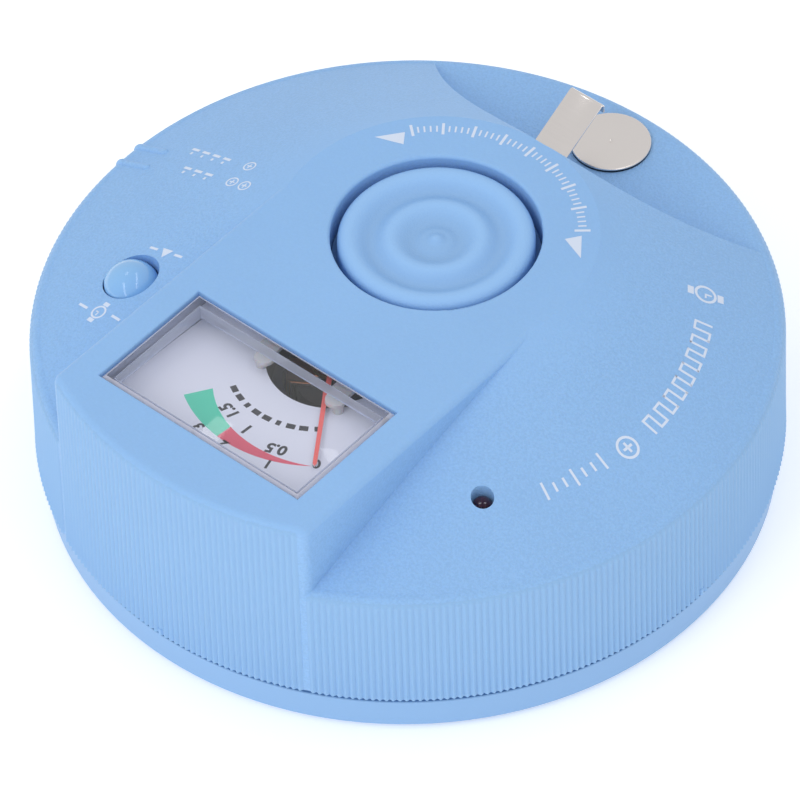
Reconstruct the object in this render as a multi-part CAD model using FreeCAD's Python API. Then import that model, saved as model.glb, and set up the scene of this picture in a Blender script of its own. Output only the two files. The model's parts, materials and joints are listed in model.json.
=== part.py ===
"""Round desk tester for quartz watches and their button batteries.

Units are millimetres. +Z is up and the origin is the centre of the round underside. The user sits at -Y and
reads the meter at +Y. The watch pad lies between the meter and the battery contacts at -Y.
"""
import FreeCAD, Part
import os
from math import cos, hypot, pi, radians, sin, sqrt

Vector = FreeCAD.Vector
os.makedirs("parts", exist_ok=True)

# ---------------------------------------------------------------- driving dimensions
FOOT_PROUD = 0.5            # rubber feet below the base
BASE_LOW_RADIUS = 53.87     # base ring at the bottom
BASE_TOP_RADIUS = 54.25     # base ring at the parting gap
BASE_TOP_Z = 6.6
FLOOR = 1.8                 # base floor thickness
FOOT_RADIUS = 4.0
FOOT_DEPTH = 0.6            # how far the feet sit up into the base
FOOT_PLACES = ((45, 0), (0, 45), (-45, 0), (0, -45))
DOOR_LOW_X, DOOR_HIGH_X = -27.0, 28.0
DOOR_LOW_Y, DOOR_HIGH_Y = -36.5, -5.85
DOOR_GAP = 0.25
DOOR_TAB_X = (-15.0, 16.0)
BAY_WALL = 1.6
BAY_TOP = 14.0              # walls that hold the battery

SKIRT_Z = 7.58              # lower edge of the housing wall
RIB_RADIUS = 55.0           # crest of the grip ribs at the lower edge
RIB_HEIGHT = 0.35
FOOT_RIB_TALL = 1.2
RIM_Z = 28.0                # height of the round rim
RIM_ROUND = 1.5
WALL_LOW_RADIUS = RIB_RADIUS - RIB_HEIGHT
WALL_HIGH_RADIUS = 54.45    # the wall leans in a little for the mould
SHELL = 2.2

TOP_Z = 40.6                # flat top of the raised tongue
TONGUE_HALF = 23.6          # half width of the tongue, and radius of its round end
PAD_Y = -6.85               # centre of the watch pad and of the round end
TOP_CEILING_Z = TOP_Z - SHELL

BEAD_RADIUS = 0.69          # index beads beside the range switch
BEAD_SUNK = 0.34            # how far each bead's centre lies under the surface
BEAD_INNER_X = 48.6
BEAD_DROP = 4.0

PLATFORM_RADIUS = 45.0      # curved wall behind the battery platform
PLATFORM_Y = PAD_Y - TONGUE_HALF - PLATFORM_RADIUS + 0.15

PAD_HOLE_RADIUS = 15.33
PAD_HOLE_ROUND = 0.5
PAD_RADIUS = 14.35
WELL_RADIUS = 17.2          # outside of the well that holds the pad
WELL_LOW_Z = 32.8
SHELF_Z = 34.4              # ledge that carries the pad's rubber ring
SHELF_HOLE_RADIUS = 11.2

WINDOW_HALF = 18.6          # meter window
WINDOW_NEAR_Y = 23.46
WINDOW_FAR_Y = 44.65
WINDOW_ROUND = 0.3

BUTTON_X, BUTTON_Y = 33.3, 22.2
LAMP_X, LAMP_Y = -33.5, 22.8
BUTTON_RADIUS = 4.0
BUTTON_GAP = 0.2
BUTTON_TRAVEL = 1.0
LAMP_HOLE_RADIUS = 1.65

BUTTON_LOW_Z = 27.2         # underside of the button cap
PUSH_SWITCH_TOP = 26.0
PLUNGER_TOP = 29.6

BOARD_Z = 20.4
BOARD_THICK = 1.6
BOARD_TOP = BOARD_Z + BOARD_THICK
BOARD_RADIUS = 45.5

SCREW_RING = 49.2           # housing screws
SCREW_ANGLES = (45, 135, 225, 315)
POST_RADIUS = 3.2
BOARD_SCREWS = ((36, -14), (-36, -14), (29, 30), (-29, 30))
METER_SCREWS = ((24.5, 38), (-24.5, 38))

RESISTORS = ((-26, -18), (-26, -21.4), (-26, -24.8), (-26, -28.2), (22, -9), (22, -5))
CAPACITORS = ((33, -4), (-33, -3), (-20, -6))
TRANSISTORS = ((-14, -22), (14, -27))

SWITCH_Z = 17.8             # height of the range switch's slider
SLIDER_TRAVEL = 4.0
SLIDER_REST_Y = -2.0
SLIDER_WIDTH = 4.0

CASE_HALF = 20.3            # meter case
CASE_NEAR_Y = 11.6
CASE_FAR_Y = 46.2
CASE_WALL = 1.2
PIVOT_X = -1.6              # meter movement
PIVOT_Y = 17.7
NEEDLE_REST = 34.1          # degrees from +Y towards -X
NEEDLE_LENGTH = 21.8
DIAL_Z = 34.4
DIAL_THICK = 0.4
DIAL_TOP = DIAL_Z + DIAL_THICK

DISC_Y = -46.3              # battery contact disc
DISC_RADIUS = 6.0
DISC_THICK = 0.6
STRIP_X = 2.36              # spring strip
STRIP_WIDTH = 6.0
STRIP_THICK = 0.3
STRIP_BEND_Y = -27.45
STRIP_BEND_Z = 29.5
STRIP_TIP_Y = -43.4
STRIP_RISE = 28.3           # degrees above level, at rest

BATTERY = (46.5, 26.5, 17.5)   # standard 9 V block without its terminals
BATTERY_LOW = (-24.25, -34.3, 2.4)


# ---------------------------------------------------------------- helpers
def box(x0, x1, y0, y1, z0, z1):
    return Part.makeBox(x1 - x0, y1 - y0, z1 - z0, Vector(x0, y0, z0))


def rod(x, y, z0, z1, radius):
    return Part.makeCylinder(radius, z1 - z0, Vector(x, y, z0))


def tube(x, y, z0, z1, outer, inner):
    return rod(x, y, z0, z1, outer).cut(rod(x, y, z0, z1, inner))


def rod_x(x0, x1, y, z, radius):
    return Part.makeCylinder(radius, x1 - x0, Vector(x0, y, z), Vector(1, 0, 0))


def ring_wire(x, y, z, radius):
    edge = Part.Edge(Part.Circle(Vector(x, y, z), Vector(0, 0, 1), radius))
    return Part.Wire([edge])


def turned(points, x=0.0, y=0.0):
    """Solid turned about a vertical axis from a closed outline of (radius, height) points."""
    corners = [Vector(r, 0, z) for r, z in points]
    face = Part.Face(Part.makePolygon(corners + corners[:1]))
    solid = face.revolve(Vector(0, 0, 0), Vector(0, 0, 1), 360)
    solid.translate(Vector(x, y, 0))
    return solid


def edges_at_height(shape, z):
    return [e for e in shape.Edges if abs(e.BoundBox.ZMin - z) < 0.01 and abs(e.BoundBox.ZMax - z) < 0.01]


def upright_edges(shape, corner_x, corner_y, reach):
    """Upright edges whose middle is within reach of a plan position."""
    found = []
    for edge in shape.Edges:
        bound = edge.BoundBox
        tall = bound.ZLength > 3 * max(bound.XLength, bound.YLength)
        if tall and hypot(bound.Center.x - corner_x, bound.Center.y - corner_y) < reach:
            found.append(edge)
    return found


def fused(shapes):
    solid = shapes[0].multiFuse(shapes[1:])
    return solid.removeSplitter()


def group(solids):
    return Part.makeCompound(solids)


def screw_ring():
    """Plan positions of the four screws that hold the two halves together."""
    return [(SCREW_RING * cos(radians(a)), SCREW_RING * sin(radians(a))) for a in SCREW_ANGLES]


def save(node, shape):
    shape.exportStep("parts/" + node + ".step")
    print(node, "solids", len(shape.Solids), "valid", shape.isValid(), "volume", round(shape.Volume, 1))


def slope_height(x, y):
    """Height of the sloping top outside the tongue: a cone that leans between the rim and the tongue's end."""
    low, high = 0.0, 1.0
    for _ in range(40):
        part = (low + high) / 2
        radius = TONGUE_HALF + (WALL_HIGH_RADIUS - RIM_ROUND - TONGUE_HALF) * part
        if hypot(x, y - PAD_Y * (1 - part)) > radius:
            low = part
        else:
            high = part
    return TOP_Z - (TOP_Z - RIM_Z) * low


def bent_lead(start, run, rise_to, radius, bend, direction):
    """Wire that leaves start along direction, turns through a right angle and ends at height rise_to."""
    up = 1 if rise_to > start.z else -1
    corner = start + direction * run
    centre = corner + Vector(0, 0, up * bend)
    first = Part.makeCylinder(radius, run, start, direction)
    last_base = centre + direction * bend
    last = Part.makeCylinder(radius, abs(rise_to - centre.z), last_base, Vector(0, 0, up))
    section = Part.Face(Part.Wire([Part.Edge(Part.Circle(corner, direction, radius))]))
    axis = direction.cross(Vector(0, 0, up))
    turn = section.revolve(centre, axis, 90)
    return fused([first, turn, last])


# ---------------------------------------------------------------- housing
def wall_outline(top_z, wall_radius):
    low = Vector(0, 0, SKIRT_Z)
    foot = Vector(WALL_LOW_RADIUS, 0, SKIRT_Z)
    shoulder = Vector(wall_radius, 0, top_z - RIM_ROUND)
    crown = Vector(wall_radius - RIM_ROUND, 0, top_z)
    part = RIM_ROUND * (1 - cos(radians(45)))
    middle = Vector(wall_radius - part, 0, top_z - part)
    top = Vector(0, 0, top_z)
    edges = [
        Part.makeLine(low, foot),
        Part.makeLine(foot, shoulder),
        Part.Arc(shoulder, middle, crown).toShape(),
        Part.makeLine(crown, top),
        Part.makeLine(top, low),
    ]
    face = Part.Face(Part.Wire(edges))
    return face.revolve(Vector(0, 0, 0), Vector(0, 0, 1), 360)


def leaning_cone(low_radius, low_z, high_radius, high_z):
    rings = [ring_wire(0, 0, low_z, low_radius), ring_wire(0, PAD_Y, high_z, high_radius)]
    return Part.makeLoft(rings, True, True)


def tongue_block(half, wall, z0, z1):
    """Parallel-sided block with a round end at the pad, trimmed to the round wall."""
    straight = box(-half, half, PAD_Y, 60, z0, z1)
    rounded = rod(0, PAD_Y, z0, z1, half)
    return fused([straight, rounded]).common(wall)


def outer_tongue():
    low = RIM_Z - 6
    wall = Part.makeCone(WALL_HIGH_RADIUS, WALL_HIGH_RADIUS - 0.15, TOP_Z - low, Vector(0, 0, low))
    block = tongue_block(TONGUE_HALF, wall, low, TOP_Z)
    corner_y = sqrt(WALL_HIGH_RADIUS ** 2 - TONGUE_HALF ** 2)
    corners = upright_edges(block, TONGUE_HALF, corner_y, 1) + upright_edges(block, -TONGUE_HALF, corner_y, 1)
    block = block.makeFillet(1.6, corners)
    return block.makeFillet(1.2, edges_at_height(block, TOP_Z))


def index_bar(y):
    """Low half-round bead that wraps over the rim beside a switch position."""
    crown_x = WALL_HIGH_RADIUS - RIM_ROUND
    bend = RIM_ROUND - BEAD_SUNK
    inner = Vector(BEAD_INNER_X, y, slope_height(BEAD_INNER_X, y) - BEAD_SUNK)
    crown = Vector(crown_x, y, RIM_Z - BEAD_SUNK)
    low = Vector(crown_x + bend, y, RIM_Z - BEAD_DROP)
    section = Part.Face(Part.Wire([Part.Edge(Part.Circle(crown, Vector(1, 0, 0), BEAD_RADIUS))]))
    pieces = [
        Part.makeSphere(BEAD_RADIUS, inner),
        Part.makeCylinder(BEAD_RADIUS, (crown - inner).Length, inner, crown - inner),
        section.revolve(Vector(crown_x, y, RIM_Z - RIM_ROUND), Vector(0, 1, 0), 90),
        Part.makeCylinder(BEAD_RADIUS, BEAD_DROP - RIM_ROUND, low),
        Part.makeSphere(BEAD_RADIUS, low),
    ]
    return fused(pieces)


def foot_rib(angle):
    """Foot of one of the four grip ribs that set the largest diameter."""
    rib = Part.makeCylinder(RIB_HEIGHT, FOOT_RIB_TALL, Vector(WALL_LOW_RADIUS, 0, SKIRT_Z))
    rib.rotate(Vector(0, 0, 0), Vector(0, 0, 1), angle)
    return rib


def screw_posts():
    posts = [rod(x, y, 10.0, 30, POST_RADIUS) for x, y in screw_ring()]
    for x, y in BOARD_SCREWS:
        posts.append(rod(x, y, BOARD_TOP, 38, 2.5))
    for x, y in METER_SCREWS:
        posts.append(rod(x, y, 26.8, 36, 2.5))
    return posts


def inside_window(bound):
    across = max(abs(bound.XMin), abs(bound.XMax)) < WINDOW_HALF + 0.01
    return across and bound.YMin > WINDOW_NEAR_Y - 0.01 and bound.YMax < WINDOW_FAR_Y + 0.01


def housing():
    body = wall_outline(RIM_Z, WALL_HIGH_RADIUS)
    cone = leaning_cone(WALL_HIGH_RADIUS - RIM_ROUND, RIM_Z, TONGUE_HALF, TOP_Z)
    outer = body.fuse(cone).fuse(outer_tongue())
    platform = rod(0, PLATFORM_Y, RIM_Z, RIM_Z + 20, PLATFORM_RADIUS)
    outer = outer.cut(platform)

    for raised in [index_bar(-2.0), index_bar(2.0)] + [foot_rib(angle) for angle in (0, 90, 180, 270)]:
        outer = outer.fuse(raised)

    inner_wall = WALL_HIGH_RADIUS - 2.25
    step_z = RIM_Z - 2.4
    cavity = rod(0, 0, SKIRT_Z - 1, step_z, inner_wall)
    cavity = cavity.fuse(leaning_cone(inner_wall, step_z, TONGUE_HALF - 1.2, TOP_Z - 2.4))
    tongue_wall = rod(0, 0, 0, TOP_Z, inner_wall - 0.05)
    cavity = cavity.fuse(tongue_block(TONGUE_HALF - SHELL, tongue_wall, RIM_Z - 6, TOP_CEILING_Z))
    solid_inside = [rod(0, PLATFORM_Y, RIM_Z - SHELL, RIM_Z + 20, PLATFORM_RADIUS + SHELL)]
    solid_inside += screw_posts()
    solid_inside.append(rod(0, PAD_Y, WELL_LOW_Z, TOP_Z, WELL_RADIUS))
    solid_inside.append(rod(BUTTON_X, BUTTON_Y, 28.4, 38, BUTTON_RADIUS + 1.7))
    solid_inside.append(rod(LAMP_X, LAMP_Y, 28.4, 38, LAMP_HOLE_RADIUS + 1.3))
    solid_inside.append(box(50.2, 60, -9, 9, 13.5, 22.4))
    for block in solid_inside:
        cavity = cavity.cut(block)
    shell = outer.cut(cavity)

    slot_reach = SLIDER_WIDTH / 2 + 2.3
    holes = [
        rod(0, PAD_Y, SHELF_Z, TOP_Z + 1, PAD_HOLE_RADIUS),
        rod(0, PAD_Y, WELL_LOW_Z - 1, TOP_Z, SHELF_HOLE_RADIUS),
        box(-WINDOW_HALF, WINDOW_HALF, WINDOW_NEAR_Y, WINDOW_FAR_Y, TOP_CEILING_Z - 1, TOP_Z + 1),
        rod(BUTTON_X, BUTTON_Y, 20, 40, BUTTON_RADIUS + BUTTON_GAP),
        rod(LAMP_X, LAMP_Y, 20, 40, LAMP_HOLE_RADIUS),
        box(STRIP_X - 3.3, STRIP_X + 3.3, -31.5, -27.9, 28.9, 32.0),
        rod(0, DISC_Y, 20, 30, 1.6),
        box(52.4, 60, -6.6, 6.6, SWITCH_Z - 3.3, SWITCH_Z + 3.3),
        box(49, 60, -slot_reach, slot_reach, SWITCH_Z - 1.9, SWITCH_Z + 1.9),
    ]
    holes += [rod(x, y, 9, 20.2, 1.25) for x, y in screw_ring()]
    holes += [rod(x, y, BOARD_TOP - 1, BOARD_TOP + 5.2, 0.95) for x, y in BOARD_SCREWS]
    holes += [rod(x, y, 26, 30.1, 0.95) for x, y in METER_SCREWS]
    for hole in holes:
        shell = shell.cut(hole)
    top_edges = edges_at_height(shell, TOP_Z)
    pad_edges = [e for e in top_edges if abs(e.BoundBox.XLength - 2 * PAD_HOLE_RADIUS) < 0.01]
    shell = shell.makeFillet(PAD_HOLE_ROUND, pad_edges)
    top_edges = edges_at_height(shell, TOP_Z)
    window_edges = [e for e in top_edges if inside_window(e.BoundBox)]
    return shell.makeFillet(WINDOW_ROUND, window_edges)


# ---------------------------------------------------------------- base
def base_cover():
    bottom = FOOT_PROUD
    floor_top = bottom + FLOOR
    shell = turned([
        (0, bottom),
        (BASE_LOW_RADIUS - 0.8, bottom),
        (BASE_LOW_RADIUS, bottom + 0.8),
        (BASE_TOP_RADIUS, BASE_TOP_Z),
        (51.9, BASE_TOP_Z),
        (51.9, 10.4),
        (50.4, 10.4),
        (50.4, floor_top),
        (0, floor_top),
    ])
    for x, y in screw_ring():
        shell = shell.cut(rod(x, y, 9.98, 12, POST_RADIUS + 0.2))
        shell = shell.fuse(rod(x, y, bottom, 7.0, 3.25))
        shell = shell.fuse(rod(x, y, bottom, 9.95, 2.65))
        shell = shell.cut(rod(x, y, 0, 4.0, 2.75))
        shell = shell.cut(rod(x, y, 0, 12, 1.45))
    for x, y in FOOT_PLACES:
        shell = shell.cut(rod(x, y, 0, bottom + FOOT_DEPTH, FOOT_RADIUS))
    hole_x0, hole_x1 = DOOR_LOW_X - DOOR_GAP, DOOR_HIGH_X + DOOR_GAP
    hole_y0, hole_y1 = DOOR_LOW_Y - DOOR_GAP, DOOR_HIGH_Y + DOOR_GAP
    bay = box(DOOR_LOW_X - BAY_WALL, DOOR_HIGH_X + BAY_WALL, DOOR_LOW_Y - BAY_WALL, DOOR_HIGH_Y + BAY_WALL,
              floor_top - 0.1, BAY_TOP)
    bay = bay.cut(box(hole_x0, hole_x1, hole_y0, hole_y1, 0, BAY_TOP + 1))
    shell = shell.fuse(bay)
    shell = shell.cut(box(hole_x0, hole_x1, hole_y0, hole_y1, 0, 5))
    for x in DOOR_TAB_X:
        shell = shell.cut(box(x - 3.3, x + 3.3, DOOR_HIGH_Y - 0.3, DOOR_HIGH_Y + 3, floor_top, 5.6))
    return shell.removeSplitter()


def battery_door():
    bottom = FOOT_PROUD
    top = bottom + FLOOR - 0.1
    door = box(DOOR_LOW_X, DOOR_HIGH_X, DOOR_LOW_Y, DOOR_HIGH_Y, bottom, top)
    thumb = box(-6, 7, DOOR_LOW_Y - 1, DOOR_LOW_Y + 3.2, bottom - 1, bottom + 0.9)
    door = door.cut(thumb)
    grooves = [rod_x(-6, 7, DOOR_LOW_Y + y, bottom, 0.35) for y in (5.0, 6.6, 8.2)]
    for groove in grooves:
        door = door.cut(groove)
    for x in DOOR_TAB_X:
        door = door.fuse(box(x - 3, x + 3, DOOR_HIGH_Y - 1.6, DOOR_HIGH_Y, top - 0.2, 3.4))
        door = door.fuse(box(x - 3, x + 3, DOOR_HIGH_Y - 1.6, DOOR_HIGH_Y + 1.9, 2.4, 3.4))
    return door.removeSplitter()


def rubber_feet():
    return group([rod(x, y, 0, FOOT_PROUD + FOOT_DEPTH, FOOT_RADIUS - 0.1) for x, y in FOOT_PLACES])


def pan_screw(x, y, head_z, tip_z, head_radius, shank_radius):
    """Cross-slot screw put in from below: head at head_z, tip at tip_z."""
    arm = head_radius * 0.6
    slot_half = 0.25
    slot_top = head_z + 0.7
    head = rod(x, y, head_z, head_z + 1.3, head_radius)
    head = head.cut(box(x - arm, x + arm, y - slot_half, y + slot_half, head_z - 1, slot_top))
    head = head.cut(box(x - slot_half, x + slot_half, y - arm, y + arm, head_z - 1, slot_top))
    return head.fuse(rod(x, y, head_z + 1.2, tip_z, shank_radius)).removeSplitter()


def housing_screws():
    return group([pan_screw(x, y, 2.7, 18.0, 2.6, 1.25) for x, y in screw_ring()])


# ---------------------------------------------------------------- watch pad and pick-up coil
def watch_pad():
    skirt_low = 35.7
    bottom = 37.5
    edge_z = 39.4
    middle_z = 39.45
    crown = [(PAD_RADIUS, edge_z), (12.9, 40.35), (11.2, 39.3), (9.2, 39.85), (6.6, 39.0), (4.6, 38.8), (2.2, 39.2)]
    curve = Part.BSplineCurve()
    curve.interpolate([Vector(r, 0, z) for r, z in crown] + [Vector(0, 0, middle_z)])
    outline = [(0, bottom), (12.6, bottom), (12.6, skirt_low), (PAD_RADIUS, skirt_low), (PAD_RADIUS, edge_z)]
    corners = [Vector(r, 0, z) for r, z in outline]
    edges = [Part.makeLine(a, b) for a, b in zip(corners, corners[1:])]
    edges.append(curve.toShape())
    edges.append(Part.makeLine(Vector(0, 0, middle_z), corners[0]))
    pad = Part.Face(Part.Wire(edges)).revolve(Vector(0, 0, 0), Vector(0, 0, 1), 360)
    pad.translate(Vector(0, PAD_Y, 0))
    return pad


def pickup_bobbin():
    low = rod(0, PAD_Y, BOARD_TOP, BOARD_TOP + 1.2, 7.0)
    high = rod(0, PAD_Y, 33.6, 34.8, 7.0)
    core = rod(0, PAD_Y, BOARD_TOP, 34.8, 3.4)
    return fused([low, high, core]).cut(rod(0, PAD_Y, BOARD_TOP - 1, 36, 2.6))


# ---------------------------------------------------------------- circuit board and its parts
def circuit_board():
    board = rod(0, 0, BOARD_Z, BOARD_TOP, BOARD_RADIUS)
    board = board.fuse(box(40, 49.4, -7, 7, BOARD_Z, BOARD_TOP))
    board = board.cut(box(-22.3, 22.3, 6, 60, BOARD_Z - 1, BOARD_TOP + 1))
    for x, y in BOARD_SCREWS:
        board = board.cut(rod(x, y, BOARD_Z - 1, BOARD_TOP + 1, 1.2))
    return board.removeSplitter()


def board_screws():
    return group([pan_screw(x, y, BOARD_Z - 1.3, BOARD_TOP + 5.0, 1.9, 0.95) for x, y in BOARD_SCREWS])


def logic_chip(x, y):
    """Eight-legged amplifier chip."""
    solids = [box(x - 4.8, x + 4.8, y - 3.1, y + 3.1, BOARD_TOP + 0.5, BOARD_TOP + 3.6)]
    for column in range(4):
        leg_x = x - 3.81 + 2.54 * column
        for side in (-1, 1):
            y0, y1 = sorted((y + side * 3.1, y + side * 4.0))
            solids.append(box(leg_x - 0.25, leg_x + 0.25, y0, y1, BOARD_TOP, BOARD_TOP + 2.0))
    return fused(solids)


def resistor(x, y):
    body = rod_x(x - 3.2, x + 3.2, y, BOARD_TOP + 1.3, 1.1)
    legs = []
    for leg_x in (x - 3.9, x + 3.9):
        legs.append(box(leg_x - 0.7, leg_x + 0.7, y - 0.3, y + 0.3, BOARD_TOP, BOARD_TOP + 1.6))
    return fused([body] + legs)


def upright_capacitor(x, y):
    return turned([(0, BOARD_TOP), (2.4, BOARD_TOP), (2.4, BOARD_TOP + 1.0), (2.6, BOARD_TOP + 1.3),
                   (2.6, BOARD_TOP + 6.6), (2.3, BOARD_TOP + 7.0), (0, BOARD_TOP + 7.0)], x, y)


def transistor(x, y):
    can = rod(x, y, BOARD_TOP + 1.5, BOARD_TOP + 6.0, 2.3).cut(box(x - 3, x + 3, y - 3, y - 1.3, 0, 60))
    legs = []
    for leg_x in (x - 1.27, x, x + 1.27):
        legs.append(box(leg_x - 0.22, leg_x + 0.22, y - 0.22, y + 0.22, BOARD_TOP, BOARD_TOP + 1.6))
    return fused([can] + legs)


def signal_lamp():
    x, y = LAMP_X, LAMP_Y
    radius = 1.5
    dome_z = 30.8
    crown = Part.makeSphere(radius, Vector(x, y, dome_z))
    lens = rod(x, y, 27.9, dome_z, radius).fuse(crown.cut(box(x - 2, x + 2, y - 2, y + 2, 20, dome_z)))
    flange = rod(x, y, 26.9, 27.9, 1.9)
    return fused([lens, flange])


def lamp_leads():
    x, y = LAMP_X, LAMP_Y
    return group([box(s - 0.25, s + 0.25, y - 0.25, y + 0.25, BOARD_TOP, 26.9) for s in (x - 1.27, x + 1.27)])


# ---------------------------------------------------------------- test button
def test_button():
    edge_z = 32.0
    crown_rise = 2.6
    sphere_radius = (BUTTON_RADIUS ** 2 + crown_rise ** 2) / (2 * crown_rise)
    dome = Part.makeSphere(sphere_radius, Vector(BUTTON_X, BUTTON_Y, edge_z + crown_rise - sphere_radius))
    dome = dome.common(rod(BUTTON_X, BUTTON_Y, edge_z, edge_z + 4, BUTTON_RADIUS))
    stem = rod(BUTTON_X, BUTTON_Y, BUTTON_LOW_Z, edge_z, BUTTON_RADIUS)
    flange = rod(BUTTON_X, BUTTON_Y, BUTTON_LOW_Z, 27.9, 5.1)
    cap = fused([dome, stem, flange])
    return cap.cut(rod(BUTTON_X, BUTTON_Y, BUTTON_LOW_Z - 1, PLUNGER_TOP, 1.55))


def push_switch_body():
    x, y = BUTTON_X, BUTTON_Y
    body = box(x - 3.6, x + 3.6, y - 3.6, y + 3.6, BOARD_TOP, PUSH_SWITCH_TOP)
    return body.cut(rod(x, y, BOARD_TOP + 0.8, 30, 1.6))


def push_switch_plunger():
    return rod(BUTTON_X, BUTTON_Y, BOARD_TOP + 2.0, PLUNGER_TOP, 1.5)


# ---------------------------------------------------------------- range switch
def range_switch_shell():
    body = box(44.3, 49.6, -6.2, 6.2, SWITCH_Z - 3.1, BOARD_Z)
    cavity = box(46.1, 50, -4.35, 4.35, SWITCH_Z - 1.8, SWITCH_Z + 1.8)
    return body.cut(cavity)


def range_slider():
    half = SLIDER_WIDTH / 2
    centre = SLIDER_REST_Y
    inside = box(46.3, 49.6, centre - half - 0.2, centre + half + 0.2, SWITCH_Z - 1.6, SWITCH_Z + 1.6)
    stem = box(49.6, 54.2, centre - half, centre + half, SWITCH_Z - 1.6, SWITCH_Z + 1.6)
    for offset in (-1.2, 0, 1.2):
        y = centre + offset
        stem = stem.cut(box(53.6, 55, y - 0.3, y + 0.3, SWITCH_Z - 2, SWITCH_Z + 2))
    return fused([inside, stem])


# ---------------------------------------------------------------- battery contacts
def contact_disc():
    low, high = RIM_Z, RIM_Z + DISC_THICK
    head = turned([(0, low), (DISC_RADIUS, low), (DISC_RADIUS, high - 0.15), (DISC_RADIUS - 0.15, high),
                   (0.5, high), (0.2, high - 0.12), (0, high - 0.12)], 0, DISC_Y)
    return head.fuse(rod(0, DISC_Y, 23.4, low, 1.5)).removeSplitter()


def contact_nut():
    corners = [Vector(3.1 * cos(i * pi / 3), DISC_Y + 3.1 * sin(i * pi / 3), 24.2) for i in range(6)]
    nut = Part.Face(Part.makePolygon(corners + corners[:1])).extrude(Vector(0, 0, 1.6))
    return nut.cut(rod(0, DISC_Y, 23, 27, 1.52))


def solder_tag():
    ring = tube(0, DISC_Y, 23.9, 24.2, 2.6, 1.52)
    arm = box(-1.0, 1.0, DISC_Y + 2.2, -41.0, 23.9, 24.2)
    leg = box(-1.0, 1.0, -41.3, -41.0, BOARD_TOP, 24.2)
    return fused([ring, arm, leg])


def strip_foot():
    leg = box(STRIP_X - 3, STRIP_X + 3, STRIP_BEND_Y - 0.15, STRIP_BEND_Y + 0.15, BOARD_TOP, STRIP_BEND_Z - 0.2)
    foot = box(STRIP_X - 3, STRIP_X + 3, STRIP_BEND_Y - 0.15, -22.6, BOARD_TOP, BOARD_TOP + STRIP_THICK)
    return fused([leg, foot]).cut(rod(STRIP_X, -24.8, BOARD_TOP - 1, BOARD_TOP + 1, 1.0))


def strip_rivet():
    return rod(STRIP_X, -24.8, BOARD_TOP, BOARD_TOP + 0.5, 0.98).fuse(
        rod(STRIP_X, -24.8, BOARD_TOP + STRIP_THICK, BOARD_TOP + 0.9, 1.7)).removeSplitter()


def contact_strip():
    """Springy blade that rises out of the slot and curls down at its tip."""
    rise = radians(STRIP_RISE)
    along = Vector(0, -cos(rise), sin(rise))
    normal = Vector(0, sin(rise), cos(rise))
    bend = 0.55
    length = (STRIP_BEND_Y - STRIP_TIP_Y) / cos(rise)
    start = Vector(STRIP_X - STRIP_WIDTH / 2, STRIP_BEND_Y, STRIP_BEND_Z) + along * 0.25
    half = STRIP_THICK / 2
    blade_end = start + along * (length - 0.25)
    a = start - normal * half
    b = start + normal * half
    c = blade_end + normal * half
    d = blade_end - normal * half
    centre = blade_end - normal * (bend - half)
    turn = radians(90) + rise
    lip_normal = Vector(0, -1, 0)
    middle_normal = Vector(0, -sin(turn / 2 - rise), cos(turn / 2 - rise))
    outer_end = centre + lip_normal * bend
    inner_end = centre + lip_normal * (bend - STRIP_THICK)
    outer_middle = centre + middle_normal * bend
    inner_middle = centre + middle_normal * (bend - STRIP_THICK)
    drop = Vector(0, 0, -1.1)
    edges = [
        Part.makeLine(a, b),
        Part.makeLine(b, c),
        Part.Arc(c, outer_middle, outer_end).toShape(),
        Part.makeLine(outer_end, outer_end + drop),
        Part.makeLine(outer_end + drop, inner_end + drop),
        Part.makeLine(inner_end + drop, inner_end),
        Part.Arc(inner_end, inner_middle, d).toShape(),
        Part.makeLine(d, a),
    ]
    face = Part.Face(Part.Wire(edges))
    return face.extrude(Vector(STRIP_WIDTH, 0, 0))


# ---------------------------------------------------------------- battery
def battery_case():
    x, y, z = BATTERY_LOW
    case = box(x, x + BATTERY[0], y, y + BATTERY[1], z, z + BATTERY[2])
    lengthwise = [e for e in case.Edges if e.BoundBox.XLength > 10]
    return case.makeFillet(2.0, lengthwise)


def battery_centre():
    return BATTERY_LOW[1] + BATTERY[1] / 2, BATTERY_LOW[2] + BATTERY[2] / 2


def battery_terminals():
    end = BATTERY_LOW[0] + BATTERY[0]
    y, z = battery_centre()
    small = rod_x(end, end + 1.9, y - 6.35, z, 2.85)
    large = rod_x(end, end + 1.9, y + 6.35, z, 3.9).cut(rod_x(end + 0.3, end + 3, y + 6.35, z, 3.0))
    return group([small, large])


def battery_snap():
    end = BATTERY_LOW[0] + BATTERY[0] + 1.95
    y, z = battery_centre()
    plate = box(end, end + 1.9, y - 11.5, y + 11.5, z - 5.5, z + 5.5)
    ends = [e for e in plate.Edges if e.BoundBox.XLength > 1 and e.BoundBox.YLength < 0.1]
    return plate.makeFillet(3.0, ends)


def snap_lead(y):
    snap_back = BATTERY_LOW[0] + BATTERY[0] + 1.95 + 1.9
    start = Vector(snap_back, y, 15.6)
    return bent_lead(start, 0.8, BOARD_Z, 0.6, 2.2, Vector(1, 0, 0))


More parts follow.
